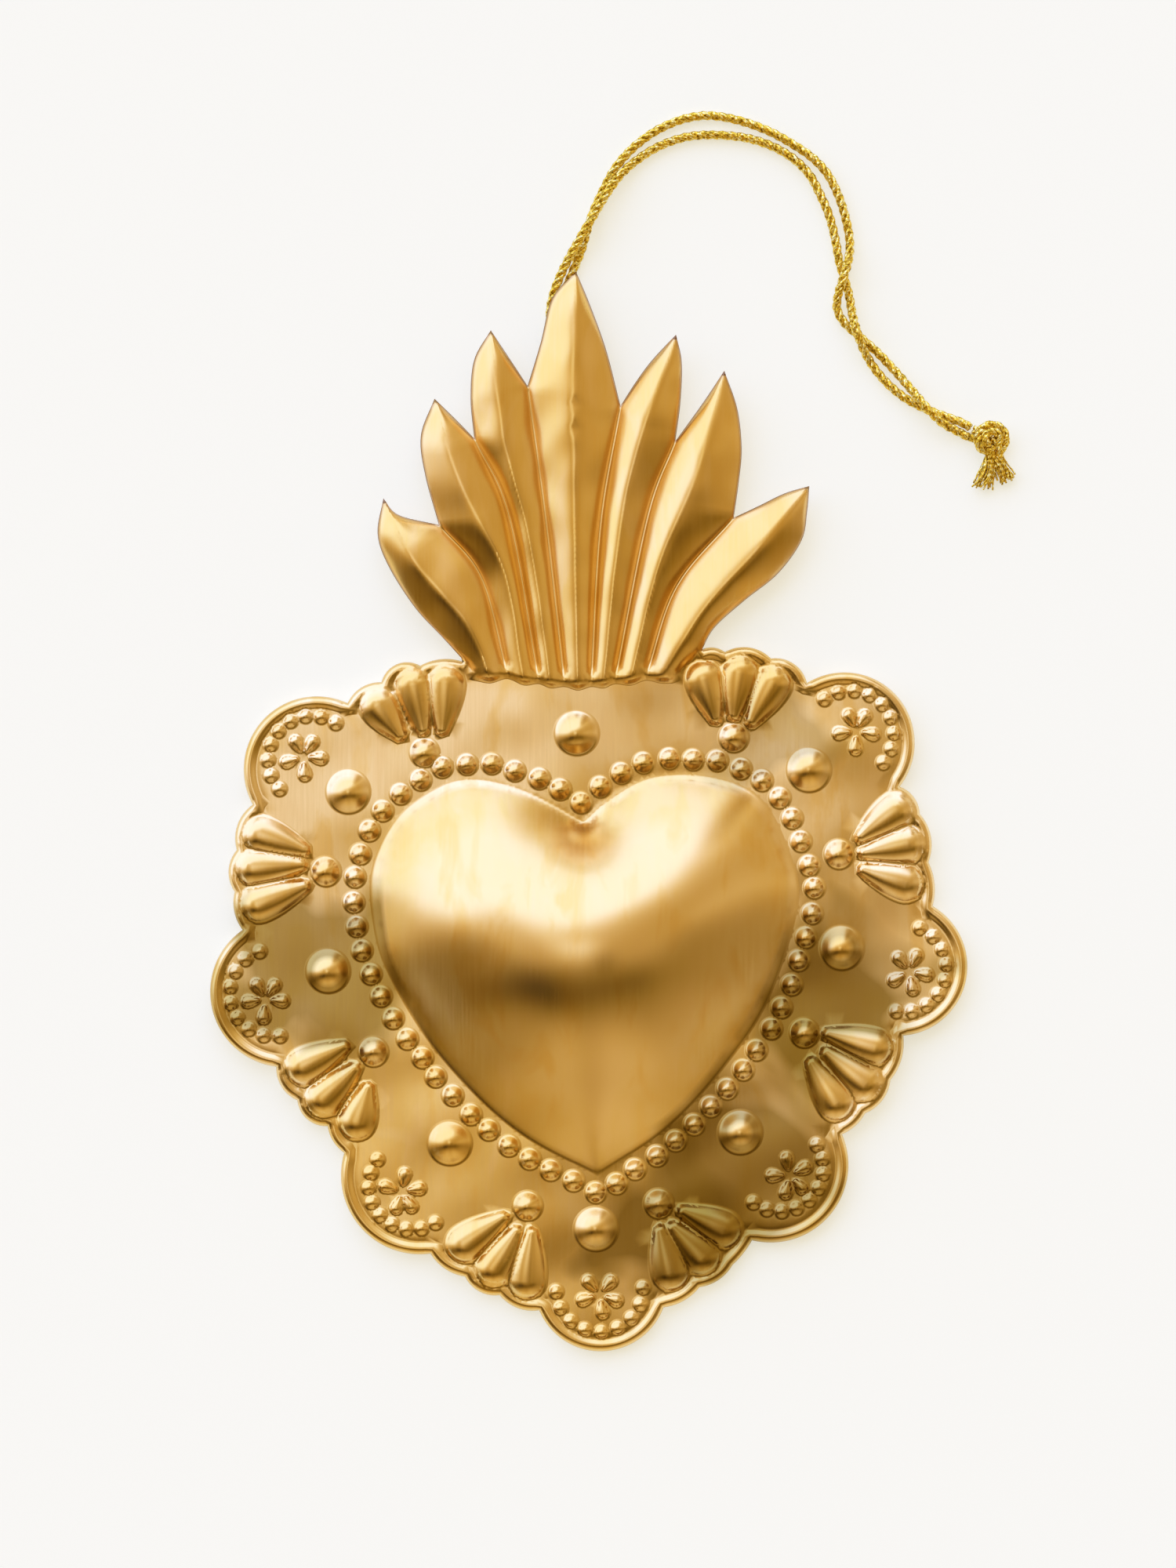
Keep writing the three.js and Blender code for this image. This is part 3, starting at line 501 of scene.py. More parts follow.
# Heart: a full pillow over its outline
heart = {"rise": 12.2, "power": 1.1, "fillet": 0.22, "lean": 0.006, "middle": (0.0, -17.0),
         "swells": ((0.0, -8.0, 7.0, 0.12), (-12.0, -27.0, 11.0, 0.05), (12.0, -27.0, 11.0, 0.05)),
         "rings": (1.006, 1.0, 0.985, 0.965, 0.94, 0.91, 0.875, 0.835, 0.79)}


def heartOutline(step):
    return np.vstack([smoothLine(heartLeft, step)[:-1], smoothLine(heartRight, step)[:-1]])


def heartDepth(points, outline):
    # pi over the outline's integral of 1 / distance squared: on a circle, the dome of a stretched skin
    stretch = np.linalg.norm(outline - np.roll(outline, 1, axis=0), axis=1)

    def depth(block):
        squared = np.maximum(((block[:, None] - outline) ** 2).sum(2), 0.0004)
        return np.pi / ((1 / squared) @ stretch)

    return inBlocks(depth, points, 1000)


def heartLift(points):
    # rise * (depth as a share of the depth in the middle)^power inside the outline, with a fillet along it;
    # fuller by the lean for each mm above the middle, and by a bell curve round each swell, which gives
    # x, y, reach and share
    outline = heartOutline(0.12)
    lift = np.zeros(len(points))
    within = inside(points, outline)
    if within.any():
        deepest = heartDepth(np.array([heart["middle"]]), outline)[0]
        depth = heartDepth(points[within], outline)
        depth = np.hypot(depth, heart["fillet"]) - heart["fillet"] * (1 - depth / deepest)
        fuller = 1 + heart["lean"] * (points[within, 1] - heart["middle"][1])
        for x, y, reach, share in heart["swells"]:
            away = ((points[within] - (x, y)) ** 2).sum(1)
            fuller += share * np.exp(-away / (2 * reach ** 2))
        share = depth / np.hypot(deepest, heart["fillet"])
        lift[within] = heart["rise"] * fuller * share ** heart["power"]
    return lift


# Round swellings: beads and bosses
rowBeads = {"count": 58, "offset": 2.2, "radius": 1.48, "rise": 1.05, "foot": 1.3, "jitter": 0.1,
            "mesh": 0.27, "marks": 23, "mitre": 0.6, "seed": 5}
bosses = {"radius": 3.05, "rise": 1.7, "foot": 1.3, "mesh": 0.27}
shellBeads = {"radius": 2.05, "rise": 1.35, "foot": 1.3, "mesh": 0.25}
lobeBeads = {"count": 9, "arc": 6.05, "radius": 1.02, "rise": 0.66, "foot": 1.35, "mesh": 0.26}


def rowBeadCentres():
    # evenly along a line that stands off the heart's outline, then nudged as by hand
    halves = [smoothLine(half, 0.2) for half in (heartLeft, heartRight)]
    loop = np.vstack([evenly(half, rowBeads["marks"])[:-1] for half in halves])
    before, after = loop - np.roll(loop, 1, axis=0), np.roll(loop, -1, axis=0) - loop
    # the outline runs anticlockwise, so the way turned to the right points away from the heart
    square = [unit(np.stack([way[:, 1], -way[:, 0]], axis=1)) for way in (before, after)]
    mitre = unit(square[0] + square[1])
    reach = rowBeads["offset"] / np.maximum((mitre * square[0]).sum(1, keepdims=True), rowBeads["mitre"])
    line = loop + mitre * reach
    centres = evenly(smoothLine(np.vstack([line, line[:1]]), 0.1), rowBeads["count"] + 1)[:-1]
    draw = np.random.default_rng(rowBeads["seed"])
    return centres + draw.normal(0, rowBeads["jitter"], centres.shape)


def lobeBeadCentres():
    rows = []
    for _, _, middle, first, last in lobes:
        angle = np.radians(np.linspace(first, last, lobeBeads["count"]))
        rows.append(middle + lobeBeads["arc"] * compass(angle))
    return np.vstack(rows)


def roundLift(points, centres, bead):
    # rise * (1 - t squared)^foot at the share t of the radius: a dome whose foot runs out softly
    t = inBlocks(lambda block: np.linalg.norm(block[:, None] - centres, axis=2).min(1), points, 8000)
    return bead["rise"] * (1 - np.minimum(t / bead["radius"], 1) ** 2) ** bead["foot"]


def roundPoints(centres, bead):
    # rings round each centre, the last one just outside the foot
    radius, spacing = bead["radius"], bead["mesh"]
    inner = np.linspace(0, 1, max(4, round(radius / spacing)) + 1)[1:] * radius
    spans = np.r_[inner, radius + sheet["roundSkirt"]]
    rings = [np.zeros((1, 2))]
    for number, span in enumerate(spans):
        count = max(10, round(2 * np.pi * min(span, 0.85 * radius) / (spacing * 1.1)))
        angle = (np.arange(count) + 0.5 * (number % 2)) * 2 * np.pi / count
        rings.append(span * compass(angle))
    return (np.asarray(centres)[:, None] + np.vstack(rings)).reshape(-1, 2)


# Drop-shaped swellings: shell and rosette petals, each from a small circle at its neck to a large one
shellPetal = {"neck": 2.5, "width": 5.6, "rise": 1.5, "low": 0.65, "round": 2.6, "foot": 1.2,
              "step": 0.66, "rings": (1.0, 0.87, 0.71, 0.53, 0.35, 0.16)}
rosettePetal = {"neck": 0.9, "width": 2.0, "rise": 0.72, "low": 0.6, "round": 2.2, "foot": 1.3,
                "step": 0.42, "rings": (1.0, 0.74, 0.47, 0.2)}
rosetteReach = (0.65, 3.45)


def petalFrame(start, end, petal):
    # middles of the two circles, the way from one to the other, and their radii
    way = unit(np.subtract(end, start))
    small, large = petal["neck"] / 2, petal["width"] / 2
    return start + way * small, end - way * large, way, small, large


def petalLift(points, start, end, petal):
    # rise * growth along the petal * (1 - t^round)^foot, with t the distance to the axis over the half
    # width there; height and width both grow by a quarter of a sine wave, level into the round end
    near, far, way, small, large = petalFrame(start, end, petal)
    span = np.linalg.norm(far - near)
    share = np.clip((points - near) @ way / span, 0, 1)
    away = np.linalg.norm(points - near - share[:, None] * (far - near), axis=1)
    grown = np.sin(share * np.pi / 2)
    t = np.minimum(away / (small + (large - small) * grown), 1)
    height = petal["rise"] * (petal["low"] + (1 - petal["low"]) * grown)
    return height * (1 - t ** petal["round"]) ** petal["foot"]


def petalPoints(start, end, petal):
    # outlines of the petal from just outside its foot inwards, and its axis
    near, far, way, small, large = petalFrame(start, end, petal)
    span = np.linalg.norm(far - near)
    turn = np.linspace(-np.pi / 2, np.pi / 2, round(np.pi * large / petal["step"]) + 1)
    back = np.linspace(np.pi / 2, 3 * np.pi / 2, 5)
    side = np.linspace(0, 1, round(span / petal["step"]))[1:-1]
    sizes = [(small + sheet["skirt"], large + sheet["skirt"])]
    sizes += [(small * ring, large * ring) for ring in petal["rings"]]
    local = [np.column_stack([span * side, 0 * side])]
    for low, high in sizes:
        local.append(np.column_stack([span + high * np.cos(turn), high * np.sin(turn)]))
        local.append(np.column_stack([low * np.cos(back), low * np.sin(back)]))
        edge = low + (high - low) * np.sin(side * np.pi / 2)
        local += [np.column_stack([span * side, edge]), np.column_stack([span * side, -edge])]
    local = np.vstack(local)
    return near + local[:, :1] * way + local[:, 1:] * np.array([-way[1], way[0]])


def allPetals():
    found = [(*ends, shellPetal) for _, petals in shells for ends in petals]
    for middle, angles, *_ in lobes:
        for angle in np.radians(angles):
            way = np.array([np.cos(angle), np.sin(angle)])
            found.append((middle + rosetteReach[0] * way, middle + rosetteReach[1] * way, rosettePetal))
    return found


def petalSeams():
    # the lines halfway between the axes of a shell's neighbouring petals, where their flanks meet
    seams = []
    for _, petals in shells:
        axes = [petalFrame(*ends, shellPetal)[:2] for ends in petals]
        for (nearA, farA), (nearB, farB) in zip(axes, axes[1:]):
            near, far = (nearA + nearB) / 2, (farA + farB) / 2
            seams.append(evenly(np.array([near, near + 1.12 * (far - near)]), 24))
    return seams


# Rim: a rounded bead along the edge with a groove inside it; distance from the edge, then height, which
# the hem gives as a share of the edge's own height
rimProfile = np.array([
    (0.0, -0.6), (0.12, -0.25), (0.3, 0.02), (0.55, 0.22), (0.85, 0.3), (1.12, 0.24), (1.36, 0.1),
    (1.56, -0.04), (1.76, -0.1), (2.0, -0.06), (2.4, 0.0),
])
hemProfile = np.array([(0.0, 0.65), (0.0, 0.25), (0.1, 0.08), (0.3, 0.0), (0.85, 0.0)])


def plateHeight(points):
    # field, heart, rim and the highest of the swellings at each point
    lift = roundLift(points, rowCentres, rowBeads)
    for centres, bead in ((bossCentres, bosses), (shellCentres, shellBeads), (lobeCentres, lobeBeads)):
        lift = np.maximum(lift, roundLift(points, np.asarray(centres), bead))
    for start, end, petal in allPetals():
        lift = np.maximum(lift, petalLift(points, start, end, petal))
    edge = np.interp(distanceTo(points, rim), rimProfile[:, 0], rimProfile[:, 1])
    return fieldHeight(points) + np.maximum(lift + np.minimum(edge, 0), edge) + heartLift(points)


# Flame: each ray is a soft gable between its two edges
flame = {
    "rise": 3.4, "slope": 0.75, "ridge": 1.0, "full": 0.82, "crease": 0.02, "step": 0.82,
    "valleyStep": 0.55, "baseStep": 0.7, "baseRun": 2.6, "baseSwell": 0.5, "edgeRows": (0.5, 0.2),
    "shoulder": 0.8, "wall": 0.5, "wallRows": (0.0, 0.12), "wallGap": 0.3, "endGap": 0.3, "foldGap": 0.22,
    "baseMesh": 0.4, "planStep": 0.5,
}
rayShares = np.array([0.0, 0.05, 0.11, 0.19, 0.29, 0.4, 0.52, 0.64, 0.76, 0.88])


# the two heat marks that the soldering left on the middle ray
heatMarks = {"places": ((-1.8, 56.6), (-1.8, 53.1)), "radius": 1.15, "dip": 0.16}


def heatDents(points):
    # dip * (1 - t squared) squared at the share t of the radius round each mark
    away = np.linalg.norm(points[:, None] - np.array(heatMarks["places"]), axis=2).min(1)
    return -heatMarks["dip"] * (1 - np.minimum(away / heatMarks["radius"], 1) ** 2) ** 2


def crestHeight(half):
    # ridge height for a ray's half width: the flank's slope, levelling off at the full rise
    return flame["rise"] * np.tanh(flame["slope"] * half / flame["rise"])


def baseRise(left):
    # share of the step at the flame's base, from none at the run above it to full on the base line
    return 1 - smoothStep(left / flame["baseRun"])


def rayGrid(ray):
    # across: from ridge to edge by share a; up: crest * (1 - soft a)^full, where soft a rounds the ridge
    # off; the crest is as high as the ray's half width allows, and near the base the row rides on its step
    left, right, ridge = rayLines(ray, 0.2)
    count = round(lengthOf(ridge) / flame["step"])
    top = evenly(ridge, count)
    lines = [evenly(np.vstack([cut, valley[1:]]), count) for cut, valley in (left, right)]
    reach = [np.maximum(np.linalg.norm(line - top, axis=1), 1e-3)[:, None] for line in lines]
    half = (reach[0] + reach[1]) / 2
    crest = crestHeight(half)
    base = flame["baseStep"] * baseRise(lengthOf(ridge) * np.linspace(1, 0, count))[:, None]
    points, heights, folds = [], [], []
    for line, wide in zip(lines, reach):
        rows = 1 - np.array(flame["edgeRows"]) / np.maximum(wide, 1.5)
        share = np.hstack([rayShares * rows[:, :1], rows])
        blunt = flame["ridge"] / np.maximum(wide, 2.0)
        soft = (np.sqrt(share ** 2 + blunt ** 2) - blunt) / (np.sqrt(1 + blunt ** 2) - blunt)
        rise = crest * (1 - soft) ** flame["full"]
        place = top[:, None] + (line - top)[:, None] * share[..., None]
        ids = sum(map(len, points)) + np.arange((count - 1) * share.shape[1]).reshape(count - 1, -1)
        folds.append(np.stack([ids[:-1, -2:], ids[1:, -2:]], axis=-1).reshape(-1, 2))
        points.append(place[1:].reshape(-1, 2))
        heights.append(np.maximum(rise, base + flame["baseSwell"] * rise * (base > 0))[1:].ravel())
    return np.vstack(points), np.concatenate(heights), np.vstack(folds)


def valleyGrid(line):
    # the crease between two rays: a shallow groove that climbs on to the base step
    points = smoothLine(line, flame["valleyStep"])[1:]
    left = lengthOf(points) * np.linspace(1, 0, len(points))
    ids = np.arange(len(points) - 1)
    return points, flame["baseStep"] * baseRise(left) - flame["crease"], np.stack([ids, ids + 1], axis=1)


def flameEdge(step):
    # the flame's cut edge from its right foot to its left one
    parts = []
    for ray in range(len(ridges) - 1, -1, -1):
        left, right, _ = rayLines(ray, step)
        parts += [right[0][::-1][:-1], left[0][:-1]]
    return np.vstack(parts)


def flameBase(step):
    # a smooth line through the rays' lower ends from left to right, bulging a little at each ridge
    ends = [valleys[0][-1]]
    for ray in range(len(ridges)):
        ends += [ridges[ray][-1], valleys[ray + 1][-1]]
    return smoothLine(ends, step)


def heartPoints():
    outline = heartOutline(0.85)
    middle = np.array(heart["middle"])
    return np.vstack([middle + (outline - middle) * ring for ring in heart["rings"]])


def rimPoints():
    # rows beside the rim at the distances of its profile, left out where they run into another stretch
    along = unit(np.gradient(rim, axis=0))
    inward = np.stack([-along[:, 1], along[:, 0]], axis=1)
    rows = []
    for reach in rimProfile[1:, 0]:
        row = rim + inward * reach
        rows.append(row[distanceTo(row, rim) > 0.9 * reach])
    return np.vstack(rows), inward


def groundPoints(spacing):
    # an even three-way grid over the whole plate
    low, high = rim.min(0), rim.max(0)
    x, y = np.meshgrid(np.arange(low[0], high[0], spacing), np.arange(low[1], high[1], spacing * 0.866))
    x[::2] += spacing / 2
    return np.stack([x.ravel(), y.ravel()], axis=1)


def spaced(points, gap):
    # the first point of each square cell, so that earlier points win
    cells = np.floor(points / gap).astype(np.int64)
    keep = np.unique(cells[:, 0] * 1000003 + cells[:, 1], return_index=True)[1]
    return points[np.sort(keep)]


rim = rimLine(sheet["rimStep"])
rowCentres = rowBeadCentres()
shellCentres = np.array([bead for bead, _ in shells])
lobeCentres = lobeBeadCentres()


def pressedSheet():
    # plan points of every form, joined by triangles inside the outline, lifted, then hemmed along the rim
    outline = np.vstack([rim, flameEdge(sheet["edgeStep"])])
    rimRows, inward = rimPoints()
    base = flameBase(flame["baseMesh"])
    flamePlan = np.vstack([flameEdge(flame["planStep"]), base])
    rays = [rayGrid(ray) for ray in range(len(ridges))]
    creases = [valleyGrid(line) for line in valleys]
    foldedPlan = np.vstack([points for points, _, _ in creases + rays])
    foldedRise = np.concatenate([rise for _, rise, _ in creases + rays])
    near = np.linalg.norm(base[:, None] - foldedPlan, axis=2).argmin(1)
    shoulder = flame["shoulder"] * foldedRise[near]
    wall = np.stack([base - (0.0, flame["wall"] + reach) for reach in flame["wallRows"]])
    sets = [
        roundPoints(rowCentres, rowBeads), roundPoints(lobeCentres, lobeBeads),
        roundPoints(bossCentres, bosses), roundPoints(shellCentres, shellBeads),
        *[petalPoints(start, end, petal) for start, end, petal in allPetals()],
        rimRows, heartPoints(),
    ]
    plate = spaced(np.vstack(sets), sheet["fine"])
    ground = groundPoints(sheet["ground"])
    nearest = np.full(len(ground), np.inf)
    for block in np.array_split(plate, max(1, len(plate) // 2000)):
        nearest = np.minimum(nearest, np.linalg.norm(ground[:, None] - block, axis=2).min(1))
    plate = np.vstack([plate, ground[nearest > sheet["groundGap"] * sheet["ground"]]])
    plate = plate[inside(plate, outline) & ~inside(plate, flamePlan)]
    clear = distanceTo(plate, base) > flame["wall"] + flame["wallGap"]
    clear &= distanceTo(plate, np.vstack([outline, outline[:1]])) > sheet["edgeGap"]
    plate = plate[clear]
    seams = petalSeams()
    for seam in seams:
        plate = plate[distanceTo(plate, seam) > sheet["seamGap"]]
    joints = np.vstack(seams)
    ends = (distanceTo(base, outline) > flame["endGap"]).nonzero()[0]
    base, wall, shoulder = base[ends], np.vstack(wall[:, ends]), shoulder[ends]
    plan = np.vstack([outline, plate, joints, base, wall, foldedPlan])
    height = np.concatenate([
        plateHeight(rim), fieldHeight(outline[len(rim):]), plateHeight(plate), plateHeight(joints),
        fieldHeight(base) + shoulder, fieldHeight(wall),
        fieldHeight(foldedPlan) + foldedRise + waves(foldedPlan, handwork) + heatDents(foldedPlan),
    ])
    loop = list(range(len(outline)))
    first = len(outline) + len(plate)
    folds = []
    for seam in seams:
        folds += [(first + k, first + k + 1) for k in range(len(seam) - 1)]
        first += len(seam)
    folds += [(first + row + k, first + row + k + 1) for row in len(base) * np.arange(3)
             for k in range(len(base) - 1)]
    first += 3 * len(base)
    keptFolds = inside(foldedPlan, flamePlan) & (distanceTo(foldedPlan, base) > flame["foldGap"])
    kept = np.r_[np.ones(first, bool), keptFolds]
    for points, _, rows in creases + rays:
        rows = first + rows
        folds += [tuple(pair) for pair in rows[kept[rows].all(1)].tolist()]
        first += len(points)
    place = np.cumsum(kept) - 1
    folds = [(place[a], place[b]) for a, b in folds]
    plan, height = plan[kept], height[kept]
    found = delaunay_2d_cdt([tuple(point) for point in plan], folds, [loop], 1, 1e-4)
    source = np.array([ids[0] if ids else -1 for ids in found[3]])
    flat = np.array([tuple(point) for point in found[0]])
    level = np.where(source >= 0, height[source], 0.0)
    strays = source < 0
    if strays.any():
        level[strays] = plateHeight(flat[strays])
    triangles = np.array(found[2])
    a, b, c = (flat[triangles[:, k]] for k in range(3))
    turned = (b[:, 0] - a[:, 0]) * (c[:, 1] - a[:, 1]) - (b[:, 1] - a[:, 1]) * (c[:, 0] - a[:, 0]) < 0
    triangles[turned] = triangles[turned][:, ::-1]
    place = np.full(len(plan), -1)
    for new, ids in enumerate(found[3]):
        place[ids] = new
    points = np.column_stack([flat, level])
    # hem: the edge turned down to the table and a little way back under itself
    edge = place[:len(rim)]
    rows = [np.column_stack([rim + inward * inset, share * level[edge]]) for inset, share in hemProfile]
    ids = np.vstack([edge] + [len(points) + k * len(rim) + np.arange(len(rim)) for k in range(len(rows))])
    hem = np.stack([ids[:-1, :-1], ids[1:, :-1], ids[1:, 1:], ids[:-1, 1:]], axis=-1).reshape(-1, 4)
    piece = meshPiece("pressedSheet", np.vstack([points, *rows]), [triangles, hem])
    print("sheet:", len(points), "points,", len(triangles), "triangles,", strays.sum(), "strays")
    return piece


marginMost = 5.0
marginFrom = 17.0  # the flame's edges all lie above this y


def pointVectors(mesh, name):
    values = np.empty(len(mesh.vertices) * 3)
    mesh.vertices.foreach_get(name, values)
    return values.reshape(-1, 3)


def surfaceTone(piece):
    # how hollow the surface is at each point: height of its neighbours above it, along its own normal
    mesh = piece.data
    count = len(mesh.vertices)
    spot, normal = pointVectors(mesh, "co") / mm, pointVectors(mesh, "normal")
    ends = np.empty(len(mesh.edges) * 2, np.int64)
    mesh.edges.foreach_get("vertices", ends)
    a, b = ends.reshape(-1, 2).T
    both, other = np.r_[a, b], np.r_[b, a]
    way = spot[other] - spot[both]
    bend = (way * normal[both]).sum(1) / np.maximum((way ** 2).sum(1), 1e-3)
    number = np.bincount(both, minlength=count)
    hollow = np.bincount(both, bend, count) / np.maximum(number, 1)
    for _ in range(2):
        hollow = 0.5 * hollow + 0.5 * np.bincount(both, hollow[other], count) / np.maximum(number, 1)
    return hollow


def edgeMargin(piece):
    # distance of each point to the flame's cut edge, up to the most that is kept
    spot = pointVectors(piece.data, "co")[:, :2] / mm
    margin = np.full(len(spot), marginMost)
    high = spot[:, 1] > marginFrom
    margin[high] = np.minimum(distanceTo(spot[high], flameEdge(flame["planStep"])), marginMost)
    return margin


pressed = pressedSheet()
pointValues(pressed, "hollow", np.clip(surfaceTone(pressed), -1, 4))
pointValues(pressed, "margin", edgeMargin(pressed))
solid = pressed.modifiers.new("thickness", "SOLIDIFY")
solid.thickness = sheet["thickness"] * mm
solid.offset = -1
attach(pressed, "ornament")
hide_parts("pressed_sheet")


# Hanger: a wire loop behind the middle ray, with its two legs soldered under the ridge
hanger = {
    "wire": 0.46, "x": -1.8, "legs": (56.6, 53.1), "top": 4.5, "bend": 2.5, "legFrom": 3.2, "sides": 16,
}
solder = {
    "foot": 3.55, "collar": 0.5, "spread": 1.35, "half": 5.4, "cover": 1.35, "tip": 0.05,
    "lumps": (0.1, 0.06), "rows": 10, "sides": 28, "fall": 0.4, "blunt": 0.7,
}


def hangerLoop():
    # down one leg, round the half circle of the bend, and up the other leg
    upper, lower = hanger["legs"]
    radius = (upper - lower) / 2
    angle = np.linspace(0, np.pi, 21)
    y = np.r_[upper, upper, (upper + lower) / 2 + radius * np.cos(angle), lower, lower]
    legs = [hanger["top"], hanger["legFrom"]]
    z = np.r_[legs, hanger["bend"] - radius * np.sin(angle), legs[::-1]]
    path = evenly(np.column_stack([np.full(len(y), hanger["x"]), y, z]), 60)
    return manyTubes("hangerLoop", [(path, np.array([[1.0, 0.0, 0.0]]), hanger["wire"])], hanger["sides"])


def solderJoint(name, y, turn):
    # a collar round the leg that widens by the square of the height up to the underside of the ridge
    middle = np.array([[hanger["x"], y]])
    ridge = fieldHeight(middle)[0] + waves(middle, handwork)[0] + crestHeight(solder["half"])
    roof = ridge - solder["cover"] * sheet["thickness"]
    angle = np.linspace(0, 2 * np.pi, solder["sides"], endpoint=False)
    share = np.linspace(0, 1, solder["rows"])[:, None]
    large, small = solder["lumps"]
    lumps = 1 + large * np.sin(2 * angle + turn) + small * np.sin(3 * angle + 2 * turn)
    reach = solder["collar"] + (solder["spread"] * lumps - solder["collar"]) * share ** 2
    tip = np.full((1, solder["sides"]), solder["tip"])
    reach = np.vstack([tip, reach, tip])
    lift = np.vstack([share[:1], share, share[-1:]])
    x, across = reach * np.cos(angle), reach * np.sin(angle)
    top = roof - solder["fall"] * (np.sqrt(x ** 2 + solder["blunt"] ** 2) - solder["blunt"])
    z = solder["foot"] + (top - solder["foot"]) * lift
    points = np.stack([hanger["x"] + x, y + across, z], axis=-1).reshape(-1, 3)
    return meshPiece(name, points, list(ringFaces(len(reach), solder["sides"])))


loop = hangerLoop()
upperJoint = solderJoint("solderJointUpper", hanger["legs"][0], 0.4)
lowerJoint = solderJoint("solderJointLower", hanger["legs"][1], 2.1)
backPieces = ((loop, "hanger_loop", "brass_wire"), (upperJoint, "solder_joint_upper", "solder"),
              (lowerJoint, "solder_joint_lower", "solder"))
for piece, node, slot in backPieces:
    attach(piece, "ornament")
    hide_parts(node)
print("hanger and solder made")


# Materials
def setInputs(tree, node, inputs):
    # a socket is linked, and anything else is written on the input itself
    for name, value in dict(inputs).items():
        if isinstance(value, bpy.types.NodeSocket):
            tree.links.new(value, node.inputs[name])
        else:
            node.inputs[name].default_value = value


def addNode(tree, kind, inputs=(), **settings):
    node = tree.nodes.new(kind)
    for name, value in settings.items():
        setattr(node, name, value)
    setInputs(tree, node, inputs)
    return node


def mixColour(tree, share, first, second):
    return addNode(tree, "ShaderNodeMix", {0: share, 6: first, 7: second}, data_type="RGBA").outputs[2]


def ranged(tree, value, low, high, first=0.0, last=1.0):
    names = ("Value", "From Min", "From Max", "To Min", "To Max")
    return addNode(tree, "ShaderNodeMapRange", zip(names, (value, low, high, first, last))).outputs[0]


def mathOf(tree, kind, *values):
    return addNode(tree, "ShaderNodeMath", enumerate(values), operation=kind).outputs[0]


def noiseOf(tree, place, scale, detail, distortion=0.0):
    settings = {"Vector": place, "Scale": scale, "Detail": detail, "Distortion": distortion}
    return addNode(tree, "ShaderNodeTexNoise", settings).outputs[0]


def stretched(tree, place, scale):
    return addNode(tree, "ShaderNodeMapping", {"Vector": place, "Scale": scale}).outputs[0]


def attributeOf(tree, name):
    return addNode(tree, "ShaderNodeAttribute", attribute_name=name).outputs["Fac"]


def objectPlace(tree):
    return addNode(tree, "ShaderNodeTexCoord").outputs["Object"]


def distanceOf(tree, place, centre):
    node = addNode(tree, "ShaderNodeVectorMath", {0: place, 1: centre}, operation="DISTANCE")
    return node.outputs["Value"]


def bumpOf(tree, height, strength, distance):
    settings = {"Height": height, "Strength": strength, "Distance": distance}
    return addNode(tree, "ShaderNodeBump", settings).outputs[0]


def newMaterial(name):
    material = bpy.data.materials.new(name)
    material.use_nodes = True
    tree = material.node_tree
    return material, tree, tree.nodes["Principled BSDF"]


brassLook = {
    "metal": (0.87, 0.61, 0.22, 1), "rosy": (0.9, 0.64, 0.3, 1), "olive": (0.84, 0.58, 0.17, 1),
    "honey": (0.84, 0.53, 0.12, 1), "pale": (0.95, 0.74, 0.42, 1), "tarnishAndShade": (0.29, 0.175, 0.016, 1),
    "patinaAndShade": (0.42, 0.24, 0.07, 1), "copper": (0.42, 0.2, 0.09, 1), "roughness": 0.21, "lacquer": 0.2,
    "flameFrom": (0.0165, 0.0185), "fieldTop": (0.0033, 0.0039), "heartHighlightFrom": (0.0065, 0.009),
    "ragged": 0.03,
    # the tarnish tone and these spots are partly tarnish and partly painted dark reflection
    "tarnishAndShadeSpots": ((-38.0, -22.0, 15.0, 0.7), (34.0, -25.5, 16.0, 0.85), (21.5, -47.0, 17.0, 0.72),
               (8.5, -59.0, 12.0, 0.75), (25.0, 9.0, 8.0, 0.4)),
}


